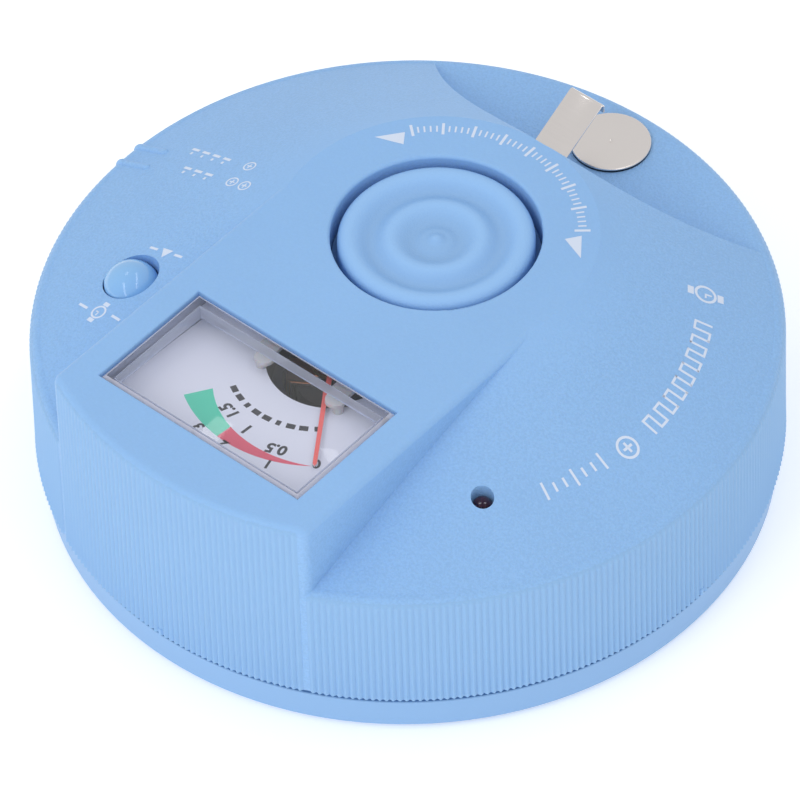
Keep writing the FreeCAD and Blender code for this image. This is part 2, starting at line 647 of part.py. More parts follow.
# ---------------------------------------------------------------- meter
def meter_case():
    tray = box(-CASE_HALF, CASE_HALF, CASE_NEAR_Y, CASE_FAR_Y, 32.6, DIAL_Z)
    side_low = 25.5
    inner_x = CASE_HALF - CASE_WALL
    sides = [box(x, x + CASE_WALL, 14, CASE_FAR_Y, side_low, 33) for x in (-CASE_HALF, inner_x)]
    chamber = rod(PIVOT_X, PIVOT_Y, 19.5, 32.6, 10.6)
    ears = [box(x, x + 6.8, 35.7, 40.3, side_low, side_low + 1.2) for x in (CASE_HALF - 0.2, -CASE_HALF - 6.6)]
    case = fused([tray, chamber] + sides + ears)
    case = case.cut(rod(PIVOT_X, PIVOT_Y, 20.9, 40, 9.5))
    case = case.cut(rod(PIVOT_X, PIVOT_Y, 15, 22, 1.12))
    for x, y in METER_SCREWS:
        case = case.cut(rod(x, y, 20, 30, 1.15))
    return case.removeSplitter()


def meter_cover():
    low = DIAL_Z
    ledge = TOP_CEILING_Z - 0.2
    top = TOP_Z - 0.2
    gap = 0.12
    frame = 1.5
    outside = fused([
        box(-CASE_HALF, CASE_HALF, CASE_NEAR_Y, CASE_FAR_Y, low, ledge),
        box(-WINDOW_HALF + gap, WINDOW_HALF - gap, WINDOW_NEAR_Y + gap, WINDOW_FAR_Y - gap, ledge - 0.5, top),
    ])
    outside = outside.makeChamfer(0.55, edges_at_height(outside, top))
    hollow = fused([
        box(-CASE_HALF + CASE_WALL, CASE_HALF - CASE_WALL, CASE_NEAR_Y + CASE_WALL, CASE_FAR_Y - CASE_WALL,
            low - 1, ledge - 1.0),
        box(-WINDOW_HALF + frame, WINDOW_HALF - frame, WINDOW_NEAR_Y + frame, WINDOW_FAR_Y - frame,
            low, top - 1.2),
    ])
    return outside.cut(hollow)


def dial_plate():
    inset = 1.3
    half = CASE_HALF - inset
    plate = box(-half, half, CASE_NEAR_Y + inset, CASE_FAR_Y - inset, DIAL_Z, DIAL_TOP)
    return plate.cut(rod(PIVOT_X, PIVOT_Y, DIAL_Z - 1, DIAL_TOP + 1, 9.5))


def meter_yoke():
    return tube(PIVOT_X, PIVOT_Y, 20.9, 31.2, 8.6, 7.1)


def core_magnet():
    core = rod(PIVOT_X, PIVOT_Y, 23.8, 30.4, 4.9)
    bar = box(PIVOT_X - 1.3, PIVOT_X + 1.3, PIVOT_Y - 7.2, PIVOT_Y + 7.2, 26.0, 28.2)
    bar = bar.common(rod(PIVOT_X, PIVOT_Y, 20, 34, 7.09))
    return fused([core, bar])


def coil_loop(inner_half, outer_half, low, high, wall, half_depth):
    """Upright rectangular loop round the core, turned to the needle's rest angle."""
    loop = box(-outer_half, outer_half, -half_depth, half_depth, low, high)
    loop = loop.cut(box(-inner_half, inner_half, -half_depth - 1, half_depth + 1, low + wall, high - wall))
    loop.rotate(Vector(0, 0, 0), Vector(0, 0, 1), NEEDLE_REST)
    loop.translate(Vector(PIVOT_X, PIVOT_Y, 0))
    return loop


def pivot_staffs():
    upper = rod(PIVOT_X, PIVOT_Y, 32.0, 36.15, 0.4)
    lower = rod(PIVOT_X, PIVOT_Y, 21.65, 22.2, 0.4)
    return group([upper, lower])


def needle():
    low, high = 35.3, 35.65
    half = 0.42
    tip_half = 0.3
    tip_y = NEEDLE_LENGTH - 0.5
    outline = [(-half, -3.8), (half, -3.8), (tip_half, tip_y), (0, NEEDLE_LENGTH), (-tip_half, tip_y)]
    corners = [Vector(x, y, low) for x, y in outline]
    blade = Part.Face(Part.makePolygon(corners + corners[:1])).extrude(Vector(0, 0, high - low))
    weight = box(-1.3, 1.3, -4.4, -3.3, low - 0.1, high + 0.1)
    hub = rod(0, 0, low - 0.2, high + 0.35, 1.4)
    hand = fused([blade, weight, hub]).cut(rod(0, 0, low - 2, high + 2, 0.4))
    hand.rotate(Vector(0, 0, 0), Vector(0, 0, 1), NEEDLE_REST)
    hand.translate(Vector(PIVOT_X, PIVOT_Y, 0))
    return hand


def meter_bridge():
    """Milky plastic bracket over the movement, with two arms on pins that stand on the dial."""
    low, high = 36.35, 36.95
    arm_end_y = 24.7
    solids = [box(PIVOT_X - 8.2, PIVOT_X + 8.2, PIVOT_Y - 1.9, PIVOT_Y + 1.9, low, high)]
    for side in (-1, 1):
        x = PIVOT_X + side * 6.7
        solids.append(box(x - 1.5, x + 1.5, PIVOT_Y - 1.9, arm_end_y, low, high))
        solids.append(rod(x, arm_end_y, low, high, 1.5))
        solids.append(rod(x + side * 0.6, arm_end_y, DIAL_TOP, high, 0.85))
    return fused(solids).cut(rod(PIVOT_X, PIVOT_Y, 30, 40, 1.12))


def jewel_screw(low, high, slot_up):
    screw = rod(PIVOT_X, PIVOT_Y, low, high, 1.1)
    slot_z = high - 0.3 if slot_up else low - 0.7
    return screw.cut(box(PIVOT_X - 2, PIVOT_X + 2, PIVOT_Y - 0.2, PIVOT_Y + 0.2, slot_z, slot_z + 1.0))


def hairspring(low, high, start_radius, turns):
    """Flat spiral made of half rings that grow by half a pitch each."""
    strip = 0.14
    pitch = 0.8
    halves = []
    for index in range(int(2 * turns)):
        side = index % 2
        centre_x = PIVOT_X + (pitch / 4 if side else -pitch / 4)
        radius = start_radius + pitch / 2 * index
        ring = tube(centre_x, PIVOT_Y, low, high, radius + strip, radius - strip)
        y0, y1 = (PIVOT_Y - 20, PIVOT_Y) if side else (PIVOT_Y, PIVOT_Y + 20)
        halves.append(ring.common(box(PIVOT_X - 20, PIVOT_X + 20, y0, y1, low, high)))
    return fused(halves)


def meter_terminals():
    return group([box(x - 1.6, x + 1.6, 14.6, 15.2, 25.0, 32.6) for x in (-15.0, 14.0)])


def meter_screws():
    return group([pan_screw(x, y, 24.2, 29.9, 1.9, 0.95) for x, y in METER_SCREWS])


def meter_lead(x):
    start = Vector(x, 14.6, 26.5)
    return bent_lead(start, 8.6, BOARD_TOP, 0.6, 2.5, Vector(0, -1, 0))


# ---------------------------------------------------------------- write every node
NODES = {
    "top_housing": housing,
    "base_cover": base_cover,
    "battery_door": battery_door,
    "rubber_feet": rubber_feet,
    "housing_screws": housing_screws,
    "watch_pad": watch_pad,
    "pad_ring": lambda: tube(0, PAD_Y, SHELF_Z, 35.7, 15.2, 12.4),
    "pickup_bobbin": pickup_bobbin,
    "pickup_winding": lambda: tube(0, PAD_Y, BOARD_TOP + 1.2, 33.6, 6.4, 3.4),
    "ferrite_rod": lambda: rod(0, PAD_Y, BOARD_TOP, 37.0, 2.58),
    "circuit_board": circuit_board,
    "board_screws": board_screws,
    "amplifier_chip": lambda: logic_chip(24, -22),
    "resistors": lambda: group([resistor(x, y) for x, y in RESISTORS]),
    "capacitors": lambda: group([upright_capacitor(x, y) for x, y in CAPACITORS]),
    "transistors": lambda: group([transistor(x, y) for x, y in TRANSISTORS]),
    "signal_lamp": signal_lamp,
    "lamp_leads": lamp_leads,
    "test_button": test_button,
    "push_switch_body": push_switch_body,
    "push_switch_plunger": push_switch_plunger,
    "range_switch_shell": range_switch_shell,
    "range_slider": range_slider,
    "contact_disc": contact_disc,
    "contact_nut": contact_nut,
    "solder_tag": solder_tag,
    "strip_foot": strip_foot,
    "strip_rivet": strip_rivet,
    "contact_strip": contact_strip,
    "battery_case": battery_case,
    "battery_terminals": battery_terminals,
    "battery_snap": battery_snap,
    "snap_lead_red": lambda: snap_lead(battery_centre()[0] + 3),
    "snap_lead_black": lambda: snap_lead(battery_centre()[0] - 3),
    "meter_case": meter_case,
    "meter_cover": meter_cover,
    "dial_plate": dial_plate,
    "meter_yoke": meter_yoke,
    "core_magnet": core_magnet,
    "coil_former": lambda: coil_loop(5.4, 5.8, 22.8, 31.4, 0.4, 1.4),
    "moving_coil": lambda: coil_loop(5.8, 6.5, 22.2, 32.0, 0.6, 1.3),
    "pivot_staffs": pivot_staffs,
    "needle": needle,
    "meter_bridge": meter_bridge,
    "jewel_screws": lambda: group([jewel_screw(36.2, 37.1, True), jewel_screw(19.5, 21.6, False)]),
    "upper_hairspring": lambda: hairspring(33.2, 33.5, 1.0, 3.5),
    "lower_hairspring": lambda: hairspring(21.75, 22.05, 1.0, 3.5),
    "meter_terminals": meter_terminals,
    "meter_screws": meter_screws,
    "meter_leads": lambda: group([meter_lead(x) for x in (-15.0, 14.0)]),
}

for node_name, make in NODES.items():
    save(node_name, make())
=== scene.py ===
# %% [markdown]
# # A round bench tester for quartz watches and button cells
#
# The real tester is two blue plastic mouldings, a ribbed housing and a smooth base, with a few small
# bought-in parts: a needle meter, a push button, a lamp, a slide switch and two nickel contacts. The solid
# model already holds every piece at its true place and size. This lesson adds what the eye expects: the
# fine ribs, the grain of the mould, the printing, the dial, the metal and the light. The solid pieces are
# never moved. A piece that needs a finer shape is built again on the same measures and put in place of the
# solid one.

# %% Load the fixed frame
import json
from math import acos, cos, degrees, pi, radians, sin

import bmesh
import bpy
from mathutils import Matrix, Vector
from mathutils.bvhtree import BVHTree


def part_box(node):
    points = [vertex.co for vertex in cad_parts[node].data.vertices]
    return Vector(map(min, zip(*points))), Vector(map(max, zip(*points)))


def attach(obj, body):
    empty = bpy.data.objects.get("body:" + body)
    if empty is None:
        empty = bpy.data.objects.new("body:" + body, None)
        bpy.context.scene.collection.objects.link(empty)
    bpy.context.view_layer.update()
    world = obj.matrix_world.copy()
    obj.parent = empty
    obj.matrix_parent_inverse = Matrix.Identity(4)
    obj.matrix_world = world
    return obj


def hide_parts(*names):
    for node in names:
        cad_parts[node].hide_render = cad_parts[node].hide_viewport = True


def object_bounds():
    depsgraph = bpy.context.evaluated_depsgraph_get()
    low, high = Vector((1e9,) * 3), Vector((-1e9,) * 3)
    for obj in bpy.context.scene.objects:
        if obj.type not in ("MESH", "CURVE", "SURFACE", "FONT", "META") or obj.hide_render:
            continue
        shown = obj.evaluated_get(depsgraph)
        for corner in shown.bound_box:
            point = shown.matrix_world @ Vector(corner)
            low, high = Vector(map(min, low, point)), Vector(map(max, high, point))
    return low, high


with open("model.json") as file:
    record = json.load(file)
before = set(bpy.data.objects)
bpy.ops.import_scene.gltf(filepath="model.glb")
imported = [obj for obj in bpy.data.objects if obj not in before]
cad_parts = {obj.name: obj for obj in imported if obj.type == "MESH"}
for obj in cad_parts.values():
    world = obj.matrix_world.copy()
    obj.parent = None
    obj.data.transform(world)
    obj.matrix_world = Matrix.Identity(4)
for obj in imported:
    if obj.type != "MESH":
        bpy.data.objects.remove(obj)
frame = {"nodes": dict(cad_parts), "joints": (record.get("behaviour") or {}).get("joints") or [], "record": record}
cad_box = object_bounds()
nodes = frame["nodes"]
joints = {joint["name"]: joint for joint in frame["joints"]}
MM = 0.001
print("pieces in the solid model:", len(nodes))

# %% [markdown]
# ## Places that many cells share
#
# A lesson is easier to follow when a place is worked out once. The centres of the pad, the button and the
# lamp and the height of the contact platform all come from the boxes of the solid pieces, so a change in
# the solid model carries through.

# %% Read the main places from the solid model
DISC_THICK = 0.6 * MM


def middle(node):
    """The middle of a solid piece's box."""
    low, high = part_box(node)
    return (low + high) / 2


housing_low, housing_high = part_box("top_housing")
pad_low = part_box("watch_pad")[0]
pad_centre = Vector((0, middle("watch_pad").y, 0))
button_centre = middle("test_button")
lamp_centre = middle("signal_lamp")
dial_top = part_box("dial_plate")[1].z
platform_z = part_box("contact_disc")[1].z - DISC_THICK
print("pad centre y", round(pad_centre.y / MM, 2), "platform height", round(platform_z / MM, 2), "mm")

# %% [markdown]
# ## The camera
#
# A product photographer steps back and uses a long lens, because a close, short lens makes the near side of
# a round body look swollen. The camera here is built the same way: start at the point it looks at, lean
# over by the elevation, roll a little, step back, and turn the whole rig round the object.

# %% Place the camera
LENS = 312.2
SENSOR = 36.0
CAMERA_ELEVATION = radians(46.97)
CAMERA_TURN = radians(138.0)
CAMERA_ROLL = radians(-1.97)
CAMERA_DISTANCE = 1.0078
NEAR_LIMIT = 0.05
AIM = Vector((-1.42, -3.72, 15.0)) * MM

camera_data = bpy.data.cameras.new("studio_camera")
camera_data.lens = LENS
camera_data.sensor_width = SENSOR
camera_data.clip_start = NEAR_LIMIT
camera = bpy.data.objects.new("studio_camera", camera_data)
camera.matrix_world = (
    Matrix.Rotation(-CAMERA_TURN, 4, "Z")
    @ Matrix.Translation(AIM)
    @ Matrix.Rotation(pi / 2 - CAMERA_ELEVATION, 4, "X")
    @ Matrix.Rotation(CAMERA_ROLL, 4, "Z")
    @ Matrix.Translation((0, 0, CAMERA_DISTANCE))
)
bpy.context.scene.collection.objects.link(camera)
bpy.context.scene.camera = camera
print("camera at", [round(v, 3) for v in camera.matrix_world.translation])

# %% [markdown]
# ## The studio
#
# Small glossy goods are lit with large soft sources and a pale table, so that shadows stay thin and blue
# plastic stays clean. A white room gives most of the light. One wide panel on the meter's side models the
# slopes. It is kept out of reflections, so that flat metal mirrors the even room and nothing else. Two
# narrow streaks on the push button come from tubes of light, one on each side. The left one is in two
# lengths with a gap between them, because the flat of the spring strip mirrors the middle of that line and
# would burn out. Its far length gives the glint where the strip bends. The table glows faintly, like a
# sheet of light, so it stays pure white.

# %% Floor, room and lamps
ROOM_STRENGTH = 0.77
TABLE_GLOW = 0.30
TABLE_SIZE = 3.0
TUBE_WIDTH = 0.055
LAMP_AIM = Vector((0, 0, 0.02))

scene = bpy.context.scene
scene.view_settings.view_transform = "Standard"

room = bpy.data.worlds.new("white_room")
scene.world = room
room.use_nodes = True
room_light = room.node_tree.nodes["Background"]
room_light.inputs["Color"].default_value = (0.96, 0.98, 1.0, 1)
room_light.inputs["Strength"].default_value = ROOM_STRENGTH


def soft_panel(name, place, size, watts):
    """A rectangular lamp at place, facing the middle of the tester."""
    data = bpy.data.lights.new(name, "AREA")
    data.shape = "RECTANGLE"
    data.size = size[0]
    data.size_y = size[1]
    data.energy = watts
    panel = bpy.data.objects.new(name, data)
    panel.location = place
    panel.rotation_euler = (LAMP_AIM - Vector(place)).to_track_quat("-Z", "Y").to_euler()
    scene.collection.objects.link(panel)
    return panel


def light_tube(name, first, last, watts):
    """A thin straight lamp between two places, turned towards the tester."""
    reach = Vector(last) - Vector(first)
    lamp = soft_panel(name, Vector(first) + reach / 2, (TUBE_WIDTH, reach.length), watts)
    along_tube = reach.normalized()
    away = lamp.location - along_tube * lamp.location.dot(along_tube)
    away.normalize()
    turn = Matrix((along_tube.cross(away), along_tube, away)).transposed()
    lamp.rotation_euler = turn.to_euler()


front_panel = soft_panel("front_panel", (0.0, 0.68, 0.58), (0.4, 0.4), 1.0)
front_panel.visible_glossy = False
light_tube("tube_left_far", (0.305, -0.13, 0.60), (0.28, 0.03, 0.59), 0.10)
light_tube("tube_left_near", (0.120, 0.259, 0.434), (-0.226, 0.68, 0.22), 0.27)
light_tube("tube_right", (0.064, -0.32, 0.67), (-0.453, 0.21, 0.556), 0.36)

floor_shape = bmesh.new()
bmesh.ops.create_grid(floor_shape, x_segments=1, y_segments=1, size=TABLE_SIZE)
floor_mesh = bpy.data.meshes.new("studio_floor")
floor_shape.to_mesh(floor_mesh)
floor_shape.free()
floor = bpy.data.objects.new("studio_floor", floor_mesh)
scene.collection.objects.link(floor)
floor_finish = bpy.data.materials.new("pale_floor")
floor_finish.use_nodes = True
floor_shader = floor_finish.node_tree.nodes["Principled BSDF"]
floor_shader.inputs["Base Color"].default_value = (0.93, 0.93, 0.93, 1)
floor_shader.inputs["Roughness"].default_value = 0.9
floor_shader.inputs["Specular IOR Level"].default_value = 0.1
floor_shader.inputs["Emission Color"].default_value = (1, 1, 1, 1)
floor_shader.inputs["Emission Strength"].default_value = TABLE_GLOW
floor_mesh.materials.append(floor_finish)
print("studio ready")

# %% [markdown]
# ## Effects that several finishes share
#
# Moulded plastic isn't smooth. The steel mould is spark eroded, and its pits leave a grain of about a third
# of a millimetre. Metal is drawn or rolled and keeps fine lines. Each effect is one node group with named
# sockets, made once and given its own numbers in every finish. A group gives back only heights and masks,
# and the shader itself stays in the finish.

# %% A helper that builds node groups
def effect_group(name, inputs, outputs):
    """An empty shader node group with float inputs {name: default} and float outputs [name]."""
    group = bpy.data.node_groups.new(name, "ShaderNodeTree")
    for socket, value in inputs.items():
        made = group.interface.new_socket(name=socket, in_out="INPUT", socket_type="NodeSocketFloat")
        made.default_value = value
    for socket in outputs:
        group.interface.new_socket(name=socket, in_out="OUTPUT", socket_type="NodeSocketFloat")
    entry = group.nodes.new("NodeGroupInput")
    leave = group.nodes.new("NodeGroupOutput")
    return group, entry, leave


def math_node(tree, operation, first, second):
    """A maths node whose two operands are sockets or plain numbers."""
    node = tree.nodes.new("ShaderNodeMath")
    node.operation = operation
    for socket, value in zip(node.inputs, (first, second)):
        if isinstance(value, bpy.types.NodeSocket):
            tree.links.new(value, socket)
        else:
            socket.default_value = value
    return node.outputs[0]


def noise_node(tree, vector, scale, detail=2.0, roughness=0.5):
    """A noise texture; scale is a socket or a number of waves per metre."""
    node = tree.nodes.new("ShaderNodeTexNoise")
    tree.links.new(vector, node.inputs["Vector"])
    node.inputs["Detail"].default_value = detail
    node.inputs["Roughness"].default_value = roughness
    if isinstance(scale, bpy.types.NodeSocket):
        tree.links.new(scale, node.inputs["Scale"])
    else:
        node.inputs["Scale"].default_value = scale
    return node.outputs["Fac"]


def object_place(tree):
    """The place of a point on the piece, in metres."""
    return tree.nodes.new("ShaderNodeTexCoord").outputs["Object"]


def split_xyz(tree, vector):
    """The three parts of a vector as sockets named X, Y and Z."""
    node = tree.nodes.new("ShaderNodeSeparateXYZ")
    tree.links.new(vector, node.inputs[0])
    return node.outputs


def colour_mix(tree, factor, first, second):
    """A mix of two colours, each a socket or three numbers, by a factor socket."""
    node = tree.nodes.new("ShaderNodeMix")
    node.data_type = "RGBA"
    tree.links.new(factor, node.inputs["Factor"])
    for socket, value in ((node.inputs[6], first), (node.inputs[7], second)):
        if isinstance(value, bpy.types.NodeSocket):
            tree.links.new(value, socket)
        else:
            socket.default_value = (*value, 1)
    tree.links.new(node.outputs[2], tree.nodes["Principled BSDF"].inputs["Base Color"])
    return node


# %% Mould grain: fine pits, a slow waviness and a few brighter specks
DRIFT_WAVES = 45.0
SPECK_SIZE = 0.22
SPECK_GAIN = 4.0
grain, entry, leave = effect_group("mould_grain", {"Waves per metre": 2600.0}, ["Height", "Drift", "Speck"])
place = object_place(grain)
pits = noise_node(grain, place, entry.outputs["Waves per metre"], detail=3.0, roughness=0.65)
drift = noise_node(grain, place, DRIFT_WAVES)
grain.links.new(pits, leave.inputs["Height"])
grain.links.new(drift, leave.inputs["Drift"])
cell = grain.nodes.new("ShaderNodeTexVoronoi")
grain.links.new(place, cell.inputs["Vector"])
grain.links.new(entry.outputs["Waves per metre"], cell.inputs["Scale"])
spark = math_node(grain, "SUBTRACT", SPECK_SIZE, cell.outputs["Distance"])
bright = math_node(grain, "MAXIMUM", math_node(grain, "MULTIPLY", spark, SPECK_GAIN), 0.0)
grain.links.new(bright, leave.inputs["Speck"])
print("effect ready:", grain.name)

# %% Drawn lines: long scratches along one direction, for rolled strip and wire
LINE_RATES = {"Along X": 60.0, "Along Y": 9000.0, "Along Z": 9000.0}
drawn, entry, leave = effect_group("drawn_lines", LINE_RATES, ["Height"])
stretch = drawn.nodes.new("ShaderNodeVectorMath")
stretch.operation = "MULTIPLY"
drawn.links.new(object_place(drawn), stretch.inputs[0])
scales = drawn.nodes.new("ShaderNodeCombineXYZ")
for axis in "XYZ":
    drawn.links.new(entry.outputs["Along " + axis], scales.inputs[axis])
drawn.links.new(scales.outputs[0], stretch.inputs[1])
drawn.links.new(noise_node(drawn, stretch.outputs[0], 1.0, detail=3.0), leave.inputs["Height"])
print("effect ready:", drawn.name)

# %% [markdown]
# ## Finishes
#
# Every finish starts from the same short recipe: a Principled shader, one effect group, a bump fed by the
# group's height, and a colour that drifts a little between two close shades. What differs is the numbers,
# so the recipe is a function and each finish is one call.

# %% The recipe for a finish
def finish(name, colour, roughness, effect, depth, shade, settings=(), rates=()):
    """A finish in two close shades of colour. depth is the height of its relief in metres, shade darkens the
    second shade, settings are constants on the shader and rates are the effect's own inputs."""
    made = bpy.data.materials.new(name)
    made.use_nodes = True
    tree = made.node_tree
    shader = tree.nodes["Principled BSDF"]
    shader.inputs["Roughness"].default_value = roughness
    for socket, value in settings:
        shader.inputs[socket].default_value = value
    group = tree.nodes.new("ShaderNodeGroup")
    group.node_tree = effect
    for socket, value in rates:
        group.inputs[socket].default_value = value
    bump = tree.nodes.new("ShaderNodeBump")
    bump.inputs["Distance"].default_value = depth
    bump.inputs["Strength"].default_value = 1.0
    tree.links.new(group.outputs["Height"], bump.inputs["Height"])
    tree.links.new(bump.outputs["Normal"], shader.inputs["Normal"])
    mask = group.outputs["Drift"] if "Drift" in group.outputs else group.outputs["Height"]
    colour_mix(tree, mask, colour, [value * shade for value in colour])
    return made


def dress(finish_made, *names):
    """Gives a finish to solid pieces that keep their own shape."""
    for name in names:
        for socket in nodes[name].material_slots:
            socket.material = finish_made


# %% [markdown]
# ### Blue plastic
#
# The housing's top has an eroded grain that sparkles on the slope, while the tongue came from a smoother
# part of the mould. The same finish does both: a mask made from the height above the table fades the grain
# out towards the tongue's flat top, and the speck mask makes single pits a little glossier. The pits also
# shade the colour, with a contrast strong enough to part the grain into pale and dark points.

# %% Blue plastics
SKY = (0.287, 0.515, 0.855)
TONGUE_FADE_LOW = 37.0 * MM
TONGUE_FADE_HIGH = 40.4 * MM
TONGUE_GRAIN = 0.25
PIT_CONTRAST = 5.0
PIT_MIDDLE = 0.5
HOUSING_ROUGHNESS = 0.48
SPECK_GLOSS = 0.25
SOFT_PLASTIC = (("Subsurface Weight", 0.06), ("Subsurface Scale", 0.0015),
                ("Subsurface Radius", (0.3, 0.6, 1.0)))


def housing_finish(name, colour, depth):
    """Blue plastic whose grain fades out on the tongue's flat top."""
    made = finish(name, colour, HOUSING_ROUGHNESS, grain, depth, shade=0.92,
                  settings=(("Specular IOR Level", 0.42),) + SOFT_PLASTIC)
    tree = made.node_tree
    bump = tree.nodes["Bump"]
    group = tree.nodes["Group"]
    shader = tree.nodes["Principled BSDF"]
    fade = tree.nodes.new("ShaderNodeMapRange")
    fade.inputs["From Min"].default_value = TONGUE_FADE_LOW
    fade.inputs["From Max"].default_value = TONGUE_FADE_HIGH
    fade.inputs["To Min"].default_value = 1.0
    fade.inputs["To Max"].default_value = TONGUE_GRAIN
    tree.links.new(split_xyz(tree, object_place(tree))["Z"], fade.inputs["Value"])
    height = math_node(tree, "MULTIPLY", group.outputs["Height"], fade.outputs[0])
    tree.links.new(height, bump.inputs["Height"])
    from_middle = math_node(tree, "SUBTRACT", group.outputs["Height"], PIT_MIDDLE)
    pits = math_node(tree, "MULTIPLY", from_middle, fade.outputs[0])
    shade = math_node(tree, "ADD", math_node(tree, "MULTIPLY", pits, PIT_CONTRAST), group.outputs["Drift"])
    tree.links.new(shade, tree.nodes["Mix"].inputs["Factor"])
    spark = math_node(tree, "MULTIPLY", group.outputs["Speck"], fade.outputs[0])
    gloss = math_node(tree, "MULTIPLY", spark, -SPECK_GLOSS)
    tree.links.new(math_node(tree, "ADD", gloss, HOUSING_ROUGHNESS), shader.inputs["Roughness"])
    return made


housing_blue = housing_finish("housing_blue_plastic", SKY, 0.00012)
# The ribbed wall is the housing's blue made darker: painted shade on the side wall, which takes too much light
# from the glowing table.
shaded_rib_blue = finish("ribbed_wall_painted_shade", (0.272, 0.482, 0.785), 0.5, grain, 0.000006, shade=0.97,
                  settings=(("Specular IOR Level", 0.4),) + SOFT_PLASTIC)
base_blue = finish("base_blue_plastic", (0.262, 0.465, 0.765), 0.42, grain, 0.00001, shade=0.97,
                   settings=(("Specular IOR Level", 0.42),))
pad_blue = finish("pad_blue_plastic", (0.300, 0.535, 0.880), 0.44, grain, 0.00007, shade=0.86,
                  rates=(("Waves per metre", 3000.0),))
button_blue = finish("button_gloss_plastic", (0.250, 0.500, 0.830), 0.13, grain, 0.000002, shade=0.97,
                     settings=(("Coat Weight", 0.5), ("Coat Roughness", 0.05)))
dress(housing_blue, "top_housing")
dress(base_blue, "base_cover", "battery_door")
print("blue finishes ready")

# %% [markdown]
# ### Metals and small finishes
#
# Nickel plate over rolled strip is bright but slightly warm, and its rolling lines blur what it reflects.
# Zinc on screws is duller. Copper winding is lacquered, so it has a coat. The rest are plain mouldings,
# rubber and card, each with its own depth of grain.

# %% Metal finishes
METAL = (("Metallic", 1.0),)
nickel = finish("satin_nickel", (0.83, 0.77, 0.735), 0.18, drawn, 0.0000015, shade=0.93, settings=METAL)
spun_nickel = finish("turned_nickel", (0.83, 0.77, 0.735), 0.27, drawn, 0.0000012, shade=0.95, settings=METAL,
                     rates=(("Along X", 5000.0), ("Along Y", 5000.0)))
zinc = finish("zinc_plate", (0.58, 0.58, 0.60), 0.34, drawn, 0.000003, shade=0.85, settings=METAL)
tinned = finish("tinned_wire", (0.72, 0.72, 0.73), 0.30, drawn, 0.000002, shade=0.88, settings=METAL)
iron = finish("plated_iron", (0.20, 0.20, 0.215), 0.42, drawn, 0.000004, shade=0.75, settings=METAL)
bare_aluminium = finish("bare_aluminium", (0.74, 0.74, 0.75), 0.35, drawn, 0.000002, shade=0.9,
                        settings=METAL)
turned_brass = finish("turned_brass", (0.70, 0.50, 0.22), 0.28, drawn, 0.000002, shade=0.85, settings=METAL)
copper = finish("lacquered_copper", (0.72, 0.26, 0.11), 0.30, drawn, 0.00002, shade=0.7,
                settings=METAL + (("Coat Weight", 0.4),),
                rates=(("Along X", 200.0), ("Along Y", 200.0), ("Along Z", 6000.0)))
pickup_copper = finish("pickup_copper", (0.66, 0.27, 0.12), 0.34, drawn, 0.00003, shade=0.7, settings=METAL,
                       rates=(("Along X", 100.0), ("Along Y", 100.0), ("Along Z", 5000.0)))
ferrite = finish("sintered_ferrite", (0.045, 0.045, 0.05), 0.6, grain, 0.00002, shade=0.7)
print("metals ready")

# %% Plastics, rubber, card and board
black_rubber = finish("black_rubber", (0.022, 0.022, 0.023), 0.75, grain, 0.00003, shade=0.8)
dark_blue_rubber = finish("dark_blue_rubber", (0.16, 0.33, 0.62), 0.7, grain, 0.00003, shade=0.8)
grey_moulding = finish("grey_moulding", (0.12, 0.125, 0.14), 0.5, grain, 0.00002, shade=0.85)
dial_card = finish("dial_card", (0.77, 0.785, 0.90), 0.55, grain, 0.000004, shade=0.985)
milky = finish("milky_moulding", (0.62, 0.62, 0.64), 0.38, grain, 0.000004, shade=0.95,
               settings=(("Subsurface Weight", 0.35), ("Subsurface Scale", 0.001), ("Alpha", 0.86)))
board_green = finish("board_solder_mask", (0.015, 0.16, 0.06), 0.32, grain, 0.00001, shade=0.7)
black_moulding = finish("black_moulding", (0.018, 0.018, 0.02), 0.45, grain, 0.00001, shade=0.8)
white_nylon = finish("white_nylon", (0.74, 0.73, 0.68), 0.45, grain, 0.00001, shade=0.95)
resistor_lacquer = finish("resistor_lacquer", (0.56, 0.39, 0.19), 0.3, grain, 0.00001, shade=0.9)
capacitor_sleeve = finish("capacitor_sleeve", (0.02, 0.035, 0.16), 0.22, grain, 0.000004, shade=0.8)
battery_lacquer = finish("battery_lacquer", (0.03, 0.032, 0.036), 0.25, drawn, 0.000003, shade=0.8,
                         settings=(("Metallic", 0.5),))
red_vinyl = finish("red_vinyl", (0.42, 0.015, 0.015), 0.35, grain, 0.000004, shade=0.85)
black_vinyl = finish("black_vinyl", (0.018, 0.018, 0.018), 0.35, grain, 0.000004, shade=0.85)
print("plain finishes ready")

# %% Dress the solid pieces that keep their shape
dress(zinc, "board_screws", "meter_screws", "contact_nut", "strip_rivet", "range_switch_shell")
dress(nickel, "strip_foot")
dress(tinned, "lamp_leads", "battery_terminals", "meter_terminals", "solder_tag")
dress(iron, "meter_yoke", "pivot_staffs")
dress(ferrite, "core_magnet", "ferrite_rod")
dress(bare_aluminium, "coil_former")
dress(turned_brass, "jewel_screws", "upper_hairspring", "lower_hairspring")
dress(copper, "moving_coil")
dress(pickup_copper, "pickup_winding")
dress(dark_blue_rubber, "pad_ring")
dress(grey_moulding, "meter_case")
dress(dial_card, "dial_plate")
dress(board_green, "circuit_board")
dress(black_moulding, "amplifier_chip", "transistors", "push_switch_body", "battery_snap")
dress(white_nylon, "pickup_bobbin", "push_switch_plunger")
dress(resistor_lacquer, "resistors")
dress(capacitor_sleeve, "capacitors")
dress(red_vinyl, "snap_lead_red")
dress(black_vinyl, "snap_lead_black", "meter_leads")
print("solid pieces dressed")
